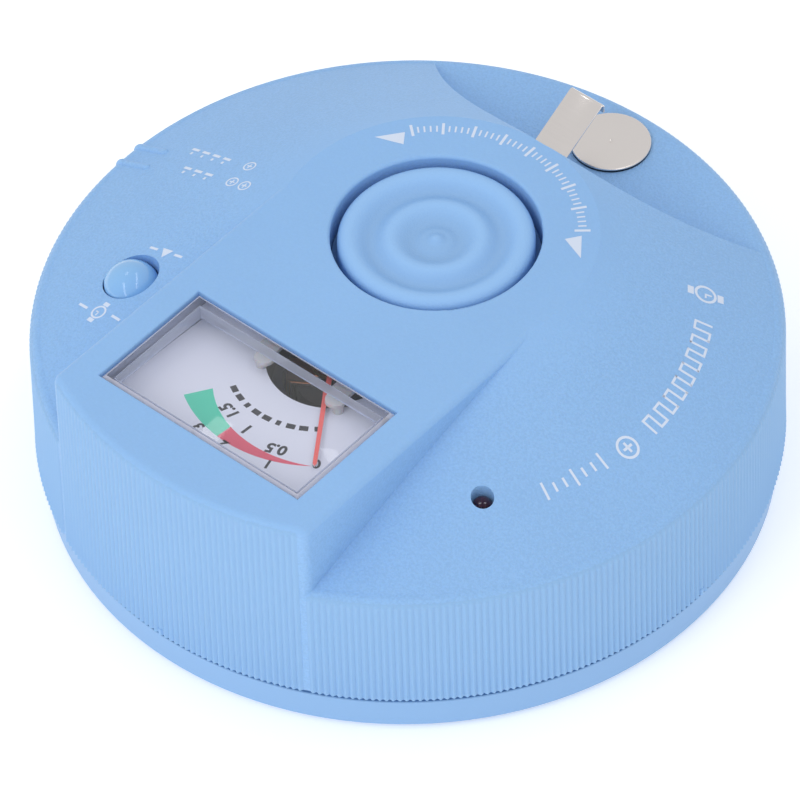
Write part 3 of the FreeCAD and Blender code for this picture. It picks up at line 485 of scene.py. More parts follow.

# %% [markdown]
# ## Helpers for new pieces
#
# A bmesh is a free mesh that operators can shape. When it is done it becomes a piece: it gets its finish
# in a material slot and rides on a body. Faces are shaded smooth and the mesh is told which edges are too
# sharp for that.

# %% Turn a bmesh into a piece
SMOOTH_LIMIT = radians(34)
WELD = 0.0005 * MM
AXIS_WELD = 0.00001 * MM


def piece(name, shape, made_of, body, instead_of=()):
    """Finishes a bmesh as an object that rides on body and stands for the solid pieces in instead_of."""
    mesh = bpy.data.meshes.new(name)
    shape.to_mesh(mesh)
    shape.free()
    mesh.materials.append(made_of)
    mesh.polygons.foreach_set("use_smooth", [True] * len(mesh.polygons))
    mesh.set_sharp_from_angle(angle=SMOOTH_LIMIT)
    thing = bpy.data.objects.new(name, mesh)
    scene.collection.objects.link(thing)
    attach(thing, body)
    if instead_of:
        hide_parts(*instead_of)
    print(name, len(mesh.polygons), "faces")
    return thing


def soften(shape, width, segments=2, limit=radians(40)):
    """Rounds by width the edges of a bmesh that are sharper than the limit."""
    sharp = [e for e in shape.edges if e.is_manifold and e.calc_face_angle(0) > limit]
    bmesh.ops.bevel(shape, geom=sharp, offset=width, offset_type="OFFSET", affect="EDGES", segments=segments,
                    profile=0.5, material=-1, clamp_overlap=True)


def spun(points, steps, centre):
    """A closed turned form from an outline of (radius, height) in metres that starts and ends on the axis."""
    shape = bmesh.new()
    corners = [shape.verts.new((radius, 0, height)) for radius, height in points]
    sides = [shape.edges.new(pair) for pair in zip(corners, corners[1:])]
    bmesh.ops.spin(shape, geom=corners + sides, cent=(0, 0, 0), axis=(0, 0, 1), dvec=(0, 0, 0), angle=2 * pi,
                   steps=steps, use_merge=True)
    bmesh.ops.remove_doubles(shape, verts=shape.verts, dist=AXIS_WELD)
    bmesh.ops.recalc_face_normals(shape, faces=shape.faces)
    bmesh.ops.translate(shape, verts=shape.verts, vec=centre)
    return shape


def merged_copy(node):
    """A bmesh copy of a solid piece with its triangles joined into whole faces."""
    shape = bmesh.new()
    shape.from_mesh(nodes[node].data)
    bmesh.ops.remove_doubles(shape, verts=shape.verts, dist=WELD)
    bmesh.ops.dissolve_limit(shape, angle_limit=radians(0.5), verts=shape.verts, edges=shape.edges)
    return shape


def give_body(shape, depth):
    """Turns flat faces into a closed plate of some depth below them."""
    made = bmesh.ops.extrude_face_region(shape, geom=list(shape.faces), use_keep_orig=True)
    lower = [v for v in made["geom"] if isinstance(v, bmesh.types.BMVert)]
    bmesh.ops.translate(shape, verts=lower, vec=(0, 0, -depth))
    bmesh.ops.recalc_face_normals(shape, faces=shape.faces)


def arc_points(centre_r, centre_z, radius, start, stop, count):
    """Points of a rounding in an outline, from start to stop in degrees."""
    turns = [radians(start + (stop - start) * i / count) for i in range(count + 1)]
    return [(centre_r + radius * cos(t), centre_z + radius * sin(t)) for t in turns]


# %% [markdown]
# ## Grip ribs
#
# About 360 fine ribs run up the wall so that a wet thumb can turn the tester. They could be a bump in the
# finish, but then the lower edge would be a clean circle, and on the real wall it is a row of small teeth.
# So one rib is modelled with only a few faces and spun round as copies. A rib is a low ridge, one degree
# wide, that leans with the wall and sinks into the rounding at the top. Under the meter the ribs run on up
# the end wall of the tongue. At the switch pocket they stop short of it and start again above.

# %% One rib, and its copies round the wall
RIB_COUNT = 360
RIB_STEP = 2 * pi / RIB_COUNT
RIB_HEIGHT = 0.35 * MM
RIB_TOP_HEIGHT = 0.17 * MM
SKIRT_Z = housing_low.z
WALL_LOW = cad_box[1][0] - RIB_HEIGHT
WALL_HIGH = 54.45 * MM
RIM_Z = platform_z
RIM_ROUND = 1.5 * MM
TONGUE_ROUND = 1.2 * MM
TONGUE_STEP_IN = 0.15 * MM
RIB_HALF = 0.47 * MM
RIB_SUNK = 0.12 * MM
RIB_SHARES = (-1.0, -0.66, -0.33, 0.0, 0.33, 0.66, 1.0)
TOP_FADE = ((10, 0.85), (20, 0.5), (30, 0.1), (40, -0.4))


def rib_section(shape, radius, height, crest, lean):
    """The corners of an outline across one rib: its root is at radius and its crest leans with the wall."""
    points = [(-RIB_HALF, -RIB_SUNK)]
    for share in RIB_SHARES:
        points.append((RIB_HALF * share, crest * (1 + cos(pi * share)) / 2))
    points.append((RIB_HALF, -RIB_SUNK))
    corners = []
    for across, out in points:
        corners.append(shape.verts.new((radius + out * cos(lean), across, height + out * sin(lean))))
    return corners


def rib_row(shape, first, count, stations):
    """Copies of a rib, one rib step apart and the first at rib step first. The rib runs through stations of
    (radius, height, crest, lean)."""
    rings = [rib_section(shape, *station) for station in stations]
    faces = [shape.faces.new(rings[0]), shape.faces.new(rings[-1])]
    for lower, upper in zip(rings, rings[1:]):
        for i in range(len(lower)):
            faces.append(shape.faces.new((lower[i - 1], lower[i], upper[i], upper[i - 1])))
    corners = [v for ring in rings for v in ring]
    bmesh.ops.rotate(shape, verts=corners, cent=(0, 0, 0), matrix=Matrix.Rotation(first * RIB_STEP, 3, "Z"))
    bmesh.ops.spin(shape, geom=faces, cent=(0, 0, 0), axis=(0, 0, 1), dvec=(0, 0, 0),
                   angle=(count - 1) * RIB_STEP, steps=count - 1, use_duplicate=True)


def upright(height):
    """A station on the straight wall, where the rib grows lower towards the rim."""
    share = min((height - SKIRT_Z) / (RIM_Z - RIM_ROUND - SKIRT_Z), 1.0)
    radius = WALL_LOW + (WALL_HIGH - WALL_LOW) * share
    return (radius, height, RIB_HEIGHT + (RIB_TOP_HEIGHT - RIB_HEIGHT) * share ** 0.5, 0.0)


def fading_top(radius, shoulder, rounding):
    """Stations that carry a rib round the rounding while it fades into the surface."""
    stations = []
    for turn, share in TOP_FADE:
        lean = radians(turn)
        stations.append((radius - rounding * (1 - cos(lean)), shoulder + rounding * sin(lean),
                         RIB_TOP_HEIGHT * share, lean))
    return stations


rim_top = [upright(RIM_Z - RIM_ROUND)] + fading_top(WALL_HIGH, RIM_Z - RIM_ROUND, RIM_ROUND)
wall_stations = [upright(SKIRT_Z), upright(SKIRT_Z + 1.2 * MM), upright(SKIRT_Z + 6 * MM)]
full_rib = wall_stations + rim_top
tongue_shoulder = housing_high.z - TONGUE_ROUND
tongue_radius = WALL_HIGH - TONGUE_STEP_IN
tall_rib = wall_stations + [rim_top[0], (tongue_radius, tongue_shoulder, RIB_TOP_HEIGHT, 0.0)]
tall_rib += fading_top(tongue_radius, tongue_shoulder, TONGUE_ROUND)

POCKET_LOW = 14.3 * MM
POCKET_HIGH = 21.3 * MM
POCKET_HALF = 7
TONGUE_MIDDLE = 90
TONGUE_RIBS = 24
CORNER_RIBS = 26

ribs = bmesh.new()
rib_row(ribs, POCKET_HALF + 1, TONGUE_MIDDLE - CORNER_RIBS - POCKET_HALF, full_rib)
rib_row(ribs, TONGUE_MIDDLE - TONGUE_RIBS, 2 * TONGUE_RIBS + 1, tall_rib)
rib_row(ribs, TONGUE_MIDDLE + CORNER_RIBS, RIB_COUNT - TONGUE_MIDDLE - CORNER_RIBS - POCKET_HALF, full_rib)
rib_row(ribs, -POCKET_HALF, 2 * POCKET_HALF + 1, [upright(SKIRT_Z), upright(POCKET_LOW)])
rib_row(ribs, -POCKET_HALF, 2 * POCKET_HALF + 1, [upright(POCKET_HIGH)] + rim_top)
bmesh.ops.recalc_face_normals(ribs, faces=ribs.faces)
piece("grip_ribs", ribs, shaded_rib_blue, "housing")

# %% [markdown]
# ## Watch pad
#
# The pad is a turned form: a broad outer ring, a groove, a second ring, a dish and a small bump in the
# middle. A smooth curve through a few heights gives it, and a spin makes it round. Subdividing the curve
# with a cosine between neighbouring heights keeps every crest and groove soft, as in the moulding. The
# grooves are painted a shade darker: painted shade in the recesses, where less light reaches. The pad's two
# shades are mixed by height instead of by the slow drift.

# %% Spin the pad
PAD_HEIGHTS = ((0.0, 0.25), (1.8, -0.45), (3.3, -0.75), (6.6, 0.60), (9.4, -0.65), (12.5, 0.95))
PAD_EDGE = 14.3 * MM
PAD_LEVEL = 39.4 * MM
PAD_SHOULDER_DROP = 1.5 * MM
# Heights between which the grooves darken: painted shade, none above the first and full below the second.
UNSHADED_ABOVE = PAD_LEVEL + 0.55 * MM
FULL_SHADE_BELOW = PAD_LEVEL - 0.75 * MM
SMOOTH_STEPS = 7
SHOULDER_STEPS = 8


def soft_curve(knots, steps):
    """Points between knots of (radius, height) joined by half cosine waves."""
    points = []
    for (r0, z0), (r1, z1) in zip(knots, knots[1:]):
        for i in range(steps):
            share = i / steps
            points.append((r0 + (r1 - r0) * share, z0 + (z1 - z0) * (1 - cos(pi * share)) / 2))
    points.append(knots[-1])
    return points


pad_top = soft_curve([(r * MM, PAD_LEVEL + z * MM) for r, z in PAD_HEIGHTS], SMOOTH_STEPS)
crest_r, crest_z = pad_top[-1]
shoulder = []
for i in range(1, SHOULDER_STEPS + 1):
    turn = radians(90 * i / SHOULDER_STEPS)
    drop = PAD_SHOULDER_DROP * (1 - cos(turn))
    shoulder.append((crest_r + (PAD_EDGE - crest_r) * sin(turn), crest_z - drop))
pad_outline = pad_top + shoulder + [(PAD_EDGE, pad_low.z), (0, pad_low.z)]
piece("ringed_pad", spun(pad_outline, 144, pad_centre), pad_blue, "housing", ["watch_pad"])

# %% Painted shade in the pad's grooves
pad_tree = pad_blue.node_tree
groove_shade_ramp = pad_tree.nodes.new("ShaderNodeMapRange")
groove_shade_ramp.inputs["From Min"].default_value = UNSHADED_ABOVE
groove_shade_ramp.inputs["From Max"].default_value = FULL_SHADE_BELOW
pad_tree.links.new(split_xyz(pad_tree, object_place(pad_tree))["Z"], groove_shade_ramp.inputs["Value"])
pad_tree.links.new(groove_shade_ramp.outputs[0], pad_tree.nodes["Mix"].inputs["Factor"])
print("pad grooves shaded")

# %% [markdown]
# ## Push button and lamp
#
# The button is a glossy dome in a plain hole. The lamp is a tinted epoxy lens: a dark red gloss that is
# mostly see-through, round the two metal posts that every such lamp has inside.

# %% Button dome
button_low, button_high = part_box("test_button")
BUTTON_RADIUS = 4.0 * MM
DOME_RISE = 2.6 * MM
FLANGE_TOP = 27.9 * MM
EDGE_ROUND = 0.35 * MM
DOME_INSET = 0.06 * MM
dome_radius = (BUTTON_RADIUS ** 2 + DOME_RISE ** 2) / (2 * DOME_RISE)
dome_middle = button_high.z - dome_radius
dome_side = degrees(acos((BUTTON_RADIUS - DOME_INSET) / dome_radius))
flange_radius = (button_high.x - button_low.x) / 2
dome = arc_points(0, dome_middle, dome_radius, 90, dome_side, 16)
dome[0] = (0, button_high.z)
dome += [(BUTTON_RADIUS, dome[-1][1] - EDGE_ROUND), (BUTTON_RADIUS, FLANGE_TOP), (flange_radius, FLANGE_TOP),
         (flange_radius, button_low.z), (0, button_low.z)]
button_place = Vector((button_centre.x, button_centre.y, 0))
piece("button_cap", spun(dome, 96, button_place), button_blue, "button", ["test_button"])

# %% Lamp lens
lamp_low, lamp_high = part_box("signal_lamp")
LENS_RADIUS = 1.5 * MM
LAMP_FLANGE = 1.9 * MM
LAMP_CLEARNESS = 0.62
lamp_red = finish("tinted_epoxy", (0.075, 0.018, 0.035), 0.07, grain, 0.000001, shade=0.9,
                  settings=(("Specular IOR Level", 0.3), ("Alpha", 1 - LAMP_CLEARNESS)))
lens = arc_points(0, lamp_high.z - LENS_RADIUS, LENS_RADIUS, 90, 0, 12)
lens[0] = (0, lamp_high.z)
lens += [(LENS_RADIUS, FLANGE_TOP), (LAMP_FLANGE, FLANGE_TOP), (LAMP_FLANGE, lamp_low.z), (0, lamp_low.z)]
lamp_place = Vector((lamp_centre.x, lamp_centre.y, 0))
piece("lamp_lens", spun(lens, 48, lamp_place), lamp_red, "housing", ["signal_lamp"])

# %% Lead frame inside the lamp
FRAME_TURN = radians(42)
POST_OFFSET = 0.36 * MM
POST_WIDTHS = (0.30 * MM, 0.42 * MM)
POST_DEPTH = 0.3 * MM
POST_HEIGHT = 1.9 * MM
POST_BELOW_TOP = 1.75 * MM
posts = bmesh.new()
for side, width in zip((-1, 1), POST_WIDTHS):
    made = bmesh.ops.create_cube(posts, size=1.0, matrix=Matrix.Diagonal((width, POST_DEPTH, POST_HEIGHT, 1)))
    bmesh.ops.translate(posts, verts=made["verts"], vec=(side * POST_OFFSET, 0, 0))
bmesh.ops.rotate(posts, verts=posts.verts, cent=(0, 0, 0), matrix=Matrix.Rotation(FRAME_TURN, 3, "Z"))
bmesh.ops.translate(posts, verts=posts.verts, vec=lamp_place + Vector((0, 0, lamp_high.z - POST_BELOW_TOP)))
soften(posts, 0.05 * MM)
piece("lamp_frame", posts, bare_aluminium, "housing")

# %% [markdown]
# ## Battery contacts
#
# The disc is a turned button of plated brass whose edge is broken by a small round and whose face keeps the
# mark of the lathe's centre. The strip is a ribbon of spring metal bent once over a former at its tip. A
# ribbon is easiest as the outline of its edge, extruded across its width, so the bend stays exactly as
# thick as the flat.

# %% Contact disc
disc_low, disc_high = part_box("contact_disc")
disc_place = Vector((0, middle("contact_disc").y, 0))
DISC_RADIUS = (disc_high.x - disc_low.x) / 2
DISC_ROUND = 0.22 * MM
STEM_RADIUS = 1.5 * MM
LATHE_MARK = ((0, 0.16), (0.22, 0.10), (0.34, 0.005), (0.6, 0))
disc_face = disc_high.z
disc_outline = [(radius * MM, disc_face - depth * MM) for radius, depth in LATHE_MARK]
disc_outline.append((DISC_RADIUS / 2, disc_face))
disc_outline += arc_points(DISC_RADIUS - DISC_ROUND, disc_face - DISC_ROUND, DISC_ROUND, 90, 0, 6)
disc_outline += [(DISC_RADIUS, platform_z), (STEM_RADIUS, platform_z), (STEM_RADIUS, disc_low.z),
                 (0, disc_low.z)]
disc_shape = spun(disc_outline, 128, disc_place)
piece("cell_disc", disc_shape, spun_nickel, "housing", ["contact_disc"])

# %% [markdown]
# The side of the disc is coloured almost black: painted shade that stands for the dark its side shows, so the
# bright face has a thin outline. The parting line between the base and the housing gets a darker blue band:
# a painted shadow under the housing's overhanging skirt. Both are a second colour that starts at a height.

# %% Painted shade on the disc's side, painted shadow line at the parting
# Heights and colours of the painted shade on the disc's side and of the painted shadow line on the base.
PAINTED_SHADOW_FROM = 6.33 * MM
PAINTED_SIDE_SHADE = (0.06, 0.06, 0.07)
PAINTED_SHADOW_BLUE = (0.17, 0.34, 0.60)


def colour_by_height(made, comparison, level, colour):
    """Gives a finish another colour above or below a height."""
    tree = made.node_tree
    mask = math_node(tree, comparison, split_xyz(tree, object_place(tree))["Z"], level)
    colour_mix(tree, mask, tree.nodes["Mix"].outputs[2], colour)
    print("second colour on", made.name)


# Painted shade: the disc's side below its rounding is coloured near black.
colour_by_height(spun_nickel, "LESS_THAN", disc_face - DISC_ROUND, PAINTED_SIDE_SHADE)
# Painted shadow: a darker blue band on the base above this height, under the housing's overhanging skirt.
colour_by_height(base_blue, "GREATER_THAN", PAINTED_SHADOW_FROM, PAINTED_SHADOW_BLUE)

# %% Spring strip
strip_low, strip_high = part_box("contact_strip")
strip_pivot = Vector(joints["strip_press"]["pos_m"])
STRIP_RISE = radians(28.3)
STRIP_THICK = 0.3 * MM
STRIP_TIP_Y = -43.4 * MM
STRIP_START = 0.25 * MM
BEND_OUTER = 0.55 * MM
LIP_DROP = 1.1 * MM
BEND_STEPS = 10
STRIP_EDGE = 0.09 * MM

along = Vector((0, -cos(STRIP_RISE), sin(STRIP_RISE)))
square_to = Vector((0, sin(STRIP_RISE), cos(STRIP_RISE)))
start = Vector((strip_low.x, strip_pivot.y, strip_pivot.z)) + along * STRIP_START
blade_end = Vector((strip_low.x, strip_pivot.y, strip_pivot.z))
blade_end += along * ((strip_pivot.y - STRIP_TIP_Y) / cos(STRIP_RISE))
half = STRIP_THICK / 2
bend_centre = blade_end - square_to * (BEND_OUTER - half)
outer_side = [start + square_to * half]
inner_side = [start - square_to * half]
for i in range(BEND_STEPS + 1):
    turn = (pi / 2 + STRIP_RISE) * i / BEND_STEPS - STRIP_RISE
    out = Vector((0, -sin(turn), cos(turn)))
    outer_side.append(bend_centre + out * BEND_OUTER)
    inner_side.append(bend_centre + out * (BEND_OUTER - STRIP_THICK))
lip = Vector((0, 0, -LIP_DROP))
outer_side.append(outer_side[-1] + lip)
inner_side.append(inner_side[-1] + lip)

strip = bmesh.new()
edge_corners = [strip.verts.new(point) for point in outer_side + inner_side[::-1]]
edge_face = strip.faces.new(edge_corners)
swept = bmesh.ops.extrude_face_region(strip, geom=[edge_face], use_keep_orig=True)
far_corners = [v for v in swept["geom"] if isinstance(v, bmesh.types.BMVert)]
bmesh.ops.translate(strip, verts=far_corners, vec=(strip_high.x - strip_low.x, 0, 0))
bmesh.ops.recalc_face_normals(strip, faces=strip.faces)
soften(strip, STRIP_EDGE, limit=radians(50))
piece("spring_strip", strip, nickel, "strip", ["contact_strip"])

# %% [markdown]
# ## Meter
#
# The dial is printed card, so its scale is ink: two flat bands and a few numbers lying a hair above the
# card. A band is a radius spun through an arc, and then its inner edge is drawn out to a taper. Numbers are
# generic scale marks. They come from a text curve, made a mesh before it is laid in place.

# %% Inks and the dial's measures
SCALE_CENTRE = Vector((-0.6, 19.5, 0)) * MM
SCALE_RADIUS = 20.3 * MM
SCALE_ZERO = -37.7
SCALE_SPLIT = 4.9
SCALE_END = 32.6
TAPER_PER_DEGREE = 0.062 * MM
THINNEST_BAND = 0.02 * MM
INK_LIFT = 0.015 * MM
INK_THICK = 0.05 * MM

ink_green = finish("dial_green_ink", (0.09, 0.66, 0.46), 0.5, grain, 0.000002, shade=0.96)
ink_red = finish("dial_red_ink", (0.80, 0.12, 0.19), 0.5, grain, 0.000002, shade=0.96)
ink_black = finish("dial_black_ink", (0.045, 0.045, 0.055), 0.5, grain, 0.000002, shade=0.9)


def lay_ink(name, shape, ink):
    """Lays a flat print on the dial and gives it a thin body."""
    for vertex in shape.verts:
        vertex.co.z = dial_top + INK_LIFT
    give_body(shape, INK_THICK)
    piece(name, shape, ink, "housing")


def scale_band(name, first, last, ink, steps):
    """A band of the scale between two angles in degrees from +Y, thinner towards zero."""
    shape = bmesh.new()
    outer = shape.verts.new((0, SCALE_RADIUS, 0))
    inner = shape.verts.new((0, SCALE_RADIUS * 0.9, 0))
    radius_line = shape.edges.new((outer, inner))
    turned = Matrix.Rotation(-radians(first), 3, "Z")
    bmesh.ops.rotate(shape, verts=[outer, inner], cent=(0, 0, 0), matrix=turned)
    bmesh.ops.spin(shape, geom=[radius_line, outer, inner], cent=(0, 0, 0), axis=(0, 0, 1), dvec=(0, 0, 0),
                   angle=-radians(last - first), steps=steps)
    for vertex in shape.verts:
        if vertex.co.length < SCALE_RADIUS * 0.95:
            angle = degrees(Vector((0, 1)).angle_signed(vertex.co.xy))
            inset = TAPER_PER_DEGREE * (angle - SCALE_ZERO) + THINNEST_BAND
            vertex.co = vertex.co.normalized() * (SCALE_RADIUS - inset)
    bmesh.ops.translate(shape, verts=shape.verts, vec=SCALE_CENTRE)
    lay_ink(name, shape, ink)


scale_band("scale_good_band", SCALE_SPLIT, SCALE_END, ink_green, 24)
scale_band("scale_low_band", SCALE_ZERO, SCALE_SPLIT, ink_red, 36)

# %% Numbers on the dial
NUMBER_SIZE = 2.3 * MM
NUMBER_SLANT = 0.12
NUMBER_WEIGHT = 0.036
DIAL_NUMBERS = (("3", 4.4, 39.95, 1.0), ("2", -0.6, 40.3, 0.95), ("1", -8.1, 39.1, 1.0),
                ("1.5", 3.05, 34.7, 1.12), ("1", -1.3, 35.9, 1.12), ("0.5", -7.1, 36.1, 1.12),
                ("0", -13.4, 34.6, 1.0))


def number_shape(text, size):
    """The flat mesh of a number, centred on the origin."""
    curve = bpy.data.curves.new("number", "FONT")
    curve.body = text
    curve.size = size
    curve.shear = NUMBER_SLANT
    curve.offset = size * NUMBER_WEIGHT
    curve.align_x = "CENTER"
    curve.align_y = "CENTER"
    curve.resolution_u = 4
    text_object = bpy.data.objects.new("number", curve)
    scene.collection.objects.link(text_object)
    evaluated = text_object.evaluated_get(bpy.context.evaluated_depsgraph_get())
    mesh = bpy.data.meshes.new_from_object(evaluated)
    bpy.data.objects.remove(text_object)
    return mesh


numbers = bmesh.new()
for text, x, y, scale in DIAL_NUMBERS:
    flat = number_shape(text, NUMBER_SIZE * scale)
    from_centre = Vector((x * MM, y * MM)) - SCALE_CENTRE.xy
    lean = Vector((0, 1)).angle_signed(from_centre)
    flat.transform(Matrix.Translation((x * MM, y * MM, 0)) @ Matrix.Rotation(-lean, 4, "Z"))
    numbers.from_mesh(flat)
bmesh.ops.remove_doubles(numbers, verts=numbers.verts, dist=WELD)
lay_ink("dial_numbers", numbers, ink_black)

# %% [markdown]
# The real dial has a short line of words between the numbers and the movement. Words are left out: a row of
# dashes on the same arc keeps the weight of the print without saying anything.

# %% Dashes on the dial
DASH_RADIUS = 13.0 * MM
DASH_COUNT = 9
DASH_FIRST = -40
DASH_STEP = 8.5
LONG_DASH = 1.35 * MM
SHORT_DASH = 0.75 * MM
DASH_HEIGHT = 0.95 * MM
dashes = bmesh.new()
for i in range(DASH_COUNT):
    turned = Matrix.Rotation(-radians(DASH_FIRST + DASH_STEP * i), 4, "Z")
    dash_place = Matrix.Translation(SCALE_CENTRE) @ turned @ Matrix.Translation((0, DASH_RADIUS, 0))
    dash_size = Matrix.Diagonal((LONG_DASH if i % 3 else SHORT_DASH, DASH_HEIGHT, 1, 1))
    bmesh.ops.create_grid(dashes, x_segments=1, y_segments=1, size=0.5, matrix=dash_place @ dash_size)
lay_ink("dial_dashes", dashes, ink_black)

# %% [markdown]
# ### Needle
#
# The pointer is a sliver of aluminium sheet painted salmon red on its face only. Its cut edges get a pale
# pink that is partly bare metal and partly a painted highlight for the light the edges catch. The colour is a
# mask from the direction that the surface faces: up is red paint, sideways is the pale edge colour.

# %% Needle paint
BARE_EDGE_HIGHLIGHT = (0.83, 0.66, 0.66)
FACE_UP = 0.5
needle_paint = finish("needle_paint", (0.95, 0.15, 0.14), 0.36, grain, 0.000002, shade=0.95)
paint_tree = needle_paint.node_tree
facing = split_xyz(paint_tree, paint_tree.nodes.new("ShaderNodeNewGeometry").outputs["Normal"])
painted = math_node(paint_tree, "GREATER_THAN", facing["Z"], FACE_UP)
# Sideways faces take the pale edge colour: bare metal with a painted highlight.
colour_mix(paint_tree, painted, BARE_EDGE_HIGHLIGHT, paint_tree.nodes["Mix"].outputs[2])
dress(needle_paint, "needle")
dress(milky, "meter_bridge")
print("needle painted")

# %% [markdown]
# ### Clear cover
#
# The cover is one acrylic moulding. Light has to reach the dial through it, and a path tracer treats light
# that has gone through glass as hard to find. So the finish lets shadow rays and soft bounces pass straight
# through, and keeps real glass for what the eye sees. The upright walls are another matter: they pipe the
# room's light sideways and look pale grey rather than clear. That pale grey is painted light: the walls and
# the bevel round the top each get a colour of their own that stands for the piped light, partly see-through
# and partly a pale gloss.

# %% Clear acrylic
EDGE_CLEARNESS = 0.42
BEVEL_CLEARNESS = 0.30


def see_through(name, colour, tint, settings, clearness=None):
    """A gloss that shadow rays pass through. With a clearness it is see-through to the eye by that share.
    Without one it is real glass to the eye, and soft bounces pass through it too."""
    made = bpy.data.materials.new(name)
    made.use_nodes = True
    tree = made.node_tree
    shader = tree.nodes["Principled BSDF"]
    shader.inputs["Base Color"].default_value = (*colour, 1)
    for socket, value in settings:
        shader.inputs[socket].default_value = value
    path = tree.nodes.new("ShaderNodeLightPath").outputs
    other = path["Is Diffuse Ray"] if clearness is None else clearness
    through = tree.nodes.new("ShaderNodeBsdfTransparent")
    through.inputs["Color"].default_value = (*tint, 1)
    mix = tree.nodes.new("ShaderNodeMixShader")
    tree.links.new(math_node(tree, "MAXIMUM", path["Is Shadow Ray"], other), mix.inputs[0])
    tree.links.new(shader.outputs[0], mix.inputs[1])
    tree.links.new(through.outputs[0], mix.inputs[2])
    tree.links.new(mix.outputs[0], tree.nodes["Material Output"].inputs["Surface"])
    return made


CLEAR_TINT = (0.97, 0.97, 0.98)
EDGE_TINT = (0.92, 0.93, 0.96)
GLASSY = (("Roughness", 0.03), ("IOR", 1.47), ("Transmission Weight", 1.0))
PALE_GLOSS = (("Roughness", 0.12), ("Coat Weight", 0.6))
clear = see_through("clear_acrylic", (0.955, 0.96, 0.975), CLEAR_TINT, GLASSY)
wall_painted_light = see_through("clear_wall_painted_light", (0.74, 0.79, 0.94), EDGE_TINT, PALE_GLOSS, EDGE_CLEARNESS)
bevel_painted_light = see_through("clear_bevel_painted_light", (0.60, 0.59, 0.66), EDGE_TINT, PALE_GLOSS, BEVEL_CLEARNESS)
print("clear finishes ready")

# %% The lid itself
LID_EDGE = 0.07 * MM
LID_FLAT = 0.98
LID_STEEP = 0.1
BEVEL_DEPTH = 0.6 * MM
lid_shape = merged_copy("meter_cover")
soften(lid_shape, LID_EDGE, limit=radians(30))
lid_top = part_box("meter_cover")[1].z
# Upright walls and the top bevel take the painted-light colours; flat faces stay glass.
for face in lid_shape.faces:
    near_top = face.calc_center_median().z > lid_top - BEVEL_DEPTH
    bevel = LID_STEEP < face.normal.z < LID_FLAT and near_top
    face.material_index = 2 if bevel else int(abs(face.normal.z) < LID_FLAT)
lid = piece("clear_lid", lid_shape, clear, "housing", ["meter_cover"])
lid.data.materials.append(wall_painted_light)
lid.data.materials.append(bevel_painted_light)

# %% [markdown]
# ## Printed marks
#
# The housing's white print sits on a leaning cone, so flat marks would sink into it or float. Each mark is
# drawn flat, in plan, then every corner is dropped onto the housing by a ray from above. Words are left
# out. Plain ticks, pulses, arrows and small pictures of a watch and of a cell say the same thing and belong
# to nobody.

# %% Drop flat marks onto the housing
housing_tree = BVHTree.FromObject(nodes["top_housing"], bpy.context.evaluated_depsgraph_get())
PRINT_LIFT = 0.02 * MM
PRINT_BODY = 0.08 * MM
PRINT_STEP = 0.7 * MM
RAY_START = 10 * MM
RING_STEPS = 28
print_white = finish("white_print", (0.70, 0.775, 0.92), 0.55, grain, 0.00003, shade=0.93)


def surface_height(x, y):
    """The height of the housing's surface seen from above."""
    start_point = Vector((x, y, housing_high.z + RAY_START))
    return housing_tree.ray_cast(start_point, Vector((0, 0, -1)))[0].z


def spot(x, y, turn):
    """The local frame of a mark at a place in millimetres, turned by degrees."""
    return Matrix.Translation((x * MM, y * MM, 0)) @ Matrix.Rotation(radians(turn), 4, "Z")


def arc_spot(centre, radius, angle):
    """The frame of a mark on an arc: local Y points away from the arc's centre, angle in degrees from +X."""
    turn = radians(angle)
    return spot(centre[0] + radius * cos(turn), centre[1] + radius * sin(turn), angle - 90)


def bar(shape, frame_here, x, y, width, height):
    """A printed bar, cut into short lengths so that it can follow a curved surface."""
    size = Matrix.Diagonal((width * MM, height * MM, 1, 1))
    here = frame_here @ Matrix.Translation((x * MM, y * MM, 0)) @ size
    bmesh.ops.create_grid(shape, x_segments=max(1, round(width * MM / PRINT_STEP)),
                          y_segments=max(1, round(height * MM / PRINT_STEP)), size=0.5, matrix=here)


def ring(shape, frame_here, x, y, outer, inner):
    """A printed ring between two radii."""
    here = frame_here @ Matrix.Translation((x * MM, y * MM, 0))
    sides = []
    for radius in (outer, inner):
        made = bmesh.ops.create_circle(shape, segments=RING_STEPS, radius=radius * MM, matrix=here)
        sides += {e for v in made["verts"] for e in v.link_edges}
    bmesh.ops.bridge_loops(shape, edges=list(set(sides)))


def arrow(shape, frame_here, width, height):
    """A solid triangle that points along local +Y. The plain one is 1.732 wide and 1.5 high."""
    size = Matrix.Diagonal((width * MM / 1.732, height * MM / 1.5, 1, 1))
    bmesh.ops.create_circle(shape, segments=3, radius=1.0, cap_ends=True, matrix=frame_here @ size)


def watch_sign(shape, frame_here):
    """A small picture of a wristwatch: a ring, two stubs of strap and two hands."""
    ring(shape, frame_here, 0, 0, 1.45, 1.1)
    bar(shape, frame_here, 0, 1.95, 1.3, 0.8)
    bar(shape, frame_here, 0, -1.95, 1.3, 0.8)
    bar(shape, frame_here, 0, 0.35, 0.24, 0.9)
    bar(shape, frame_here, 0.28, 0, 0.7, 0.24)


def cell_sign(shape, frame_here, x, radius):
    """A small picture of a button cell: a ring with a plus sign."""
    ring(shape, frame_here, x, 0, radius, radius * 0.78)
    bar(shape, frame_here, x, 0, radius * 0.95, radius * 0.22)
    bar(shape, frame_here, x, 0, radius * 0.22, radius * 0.95)


def lay_print(name, shape):
    """Drops a flat print onto the housing and gives it a thin body."""
    for vertex in shape.verts:
        vertex.co.z = surface_height(vertex.co.x, vertex.co.y) + PRINT_LIFT
    give_body(shape, PRINT_BODY)
    piece(name, shape, print_white, "housing")


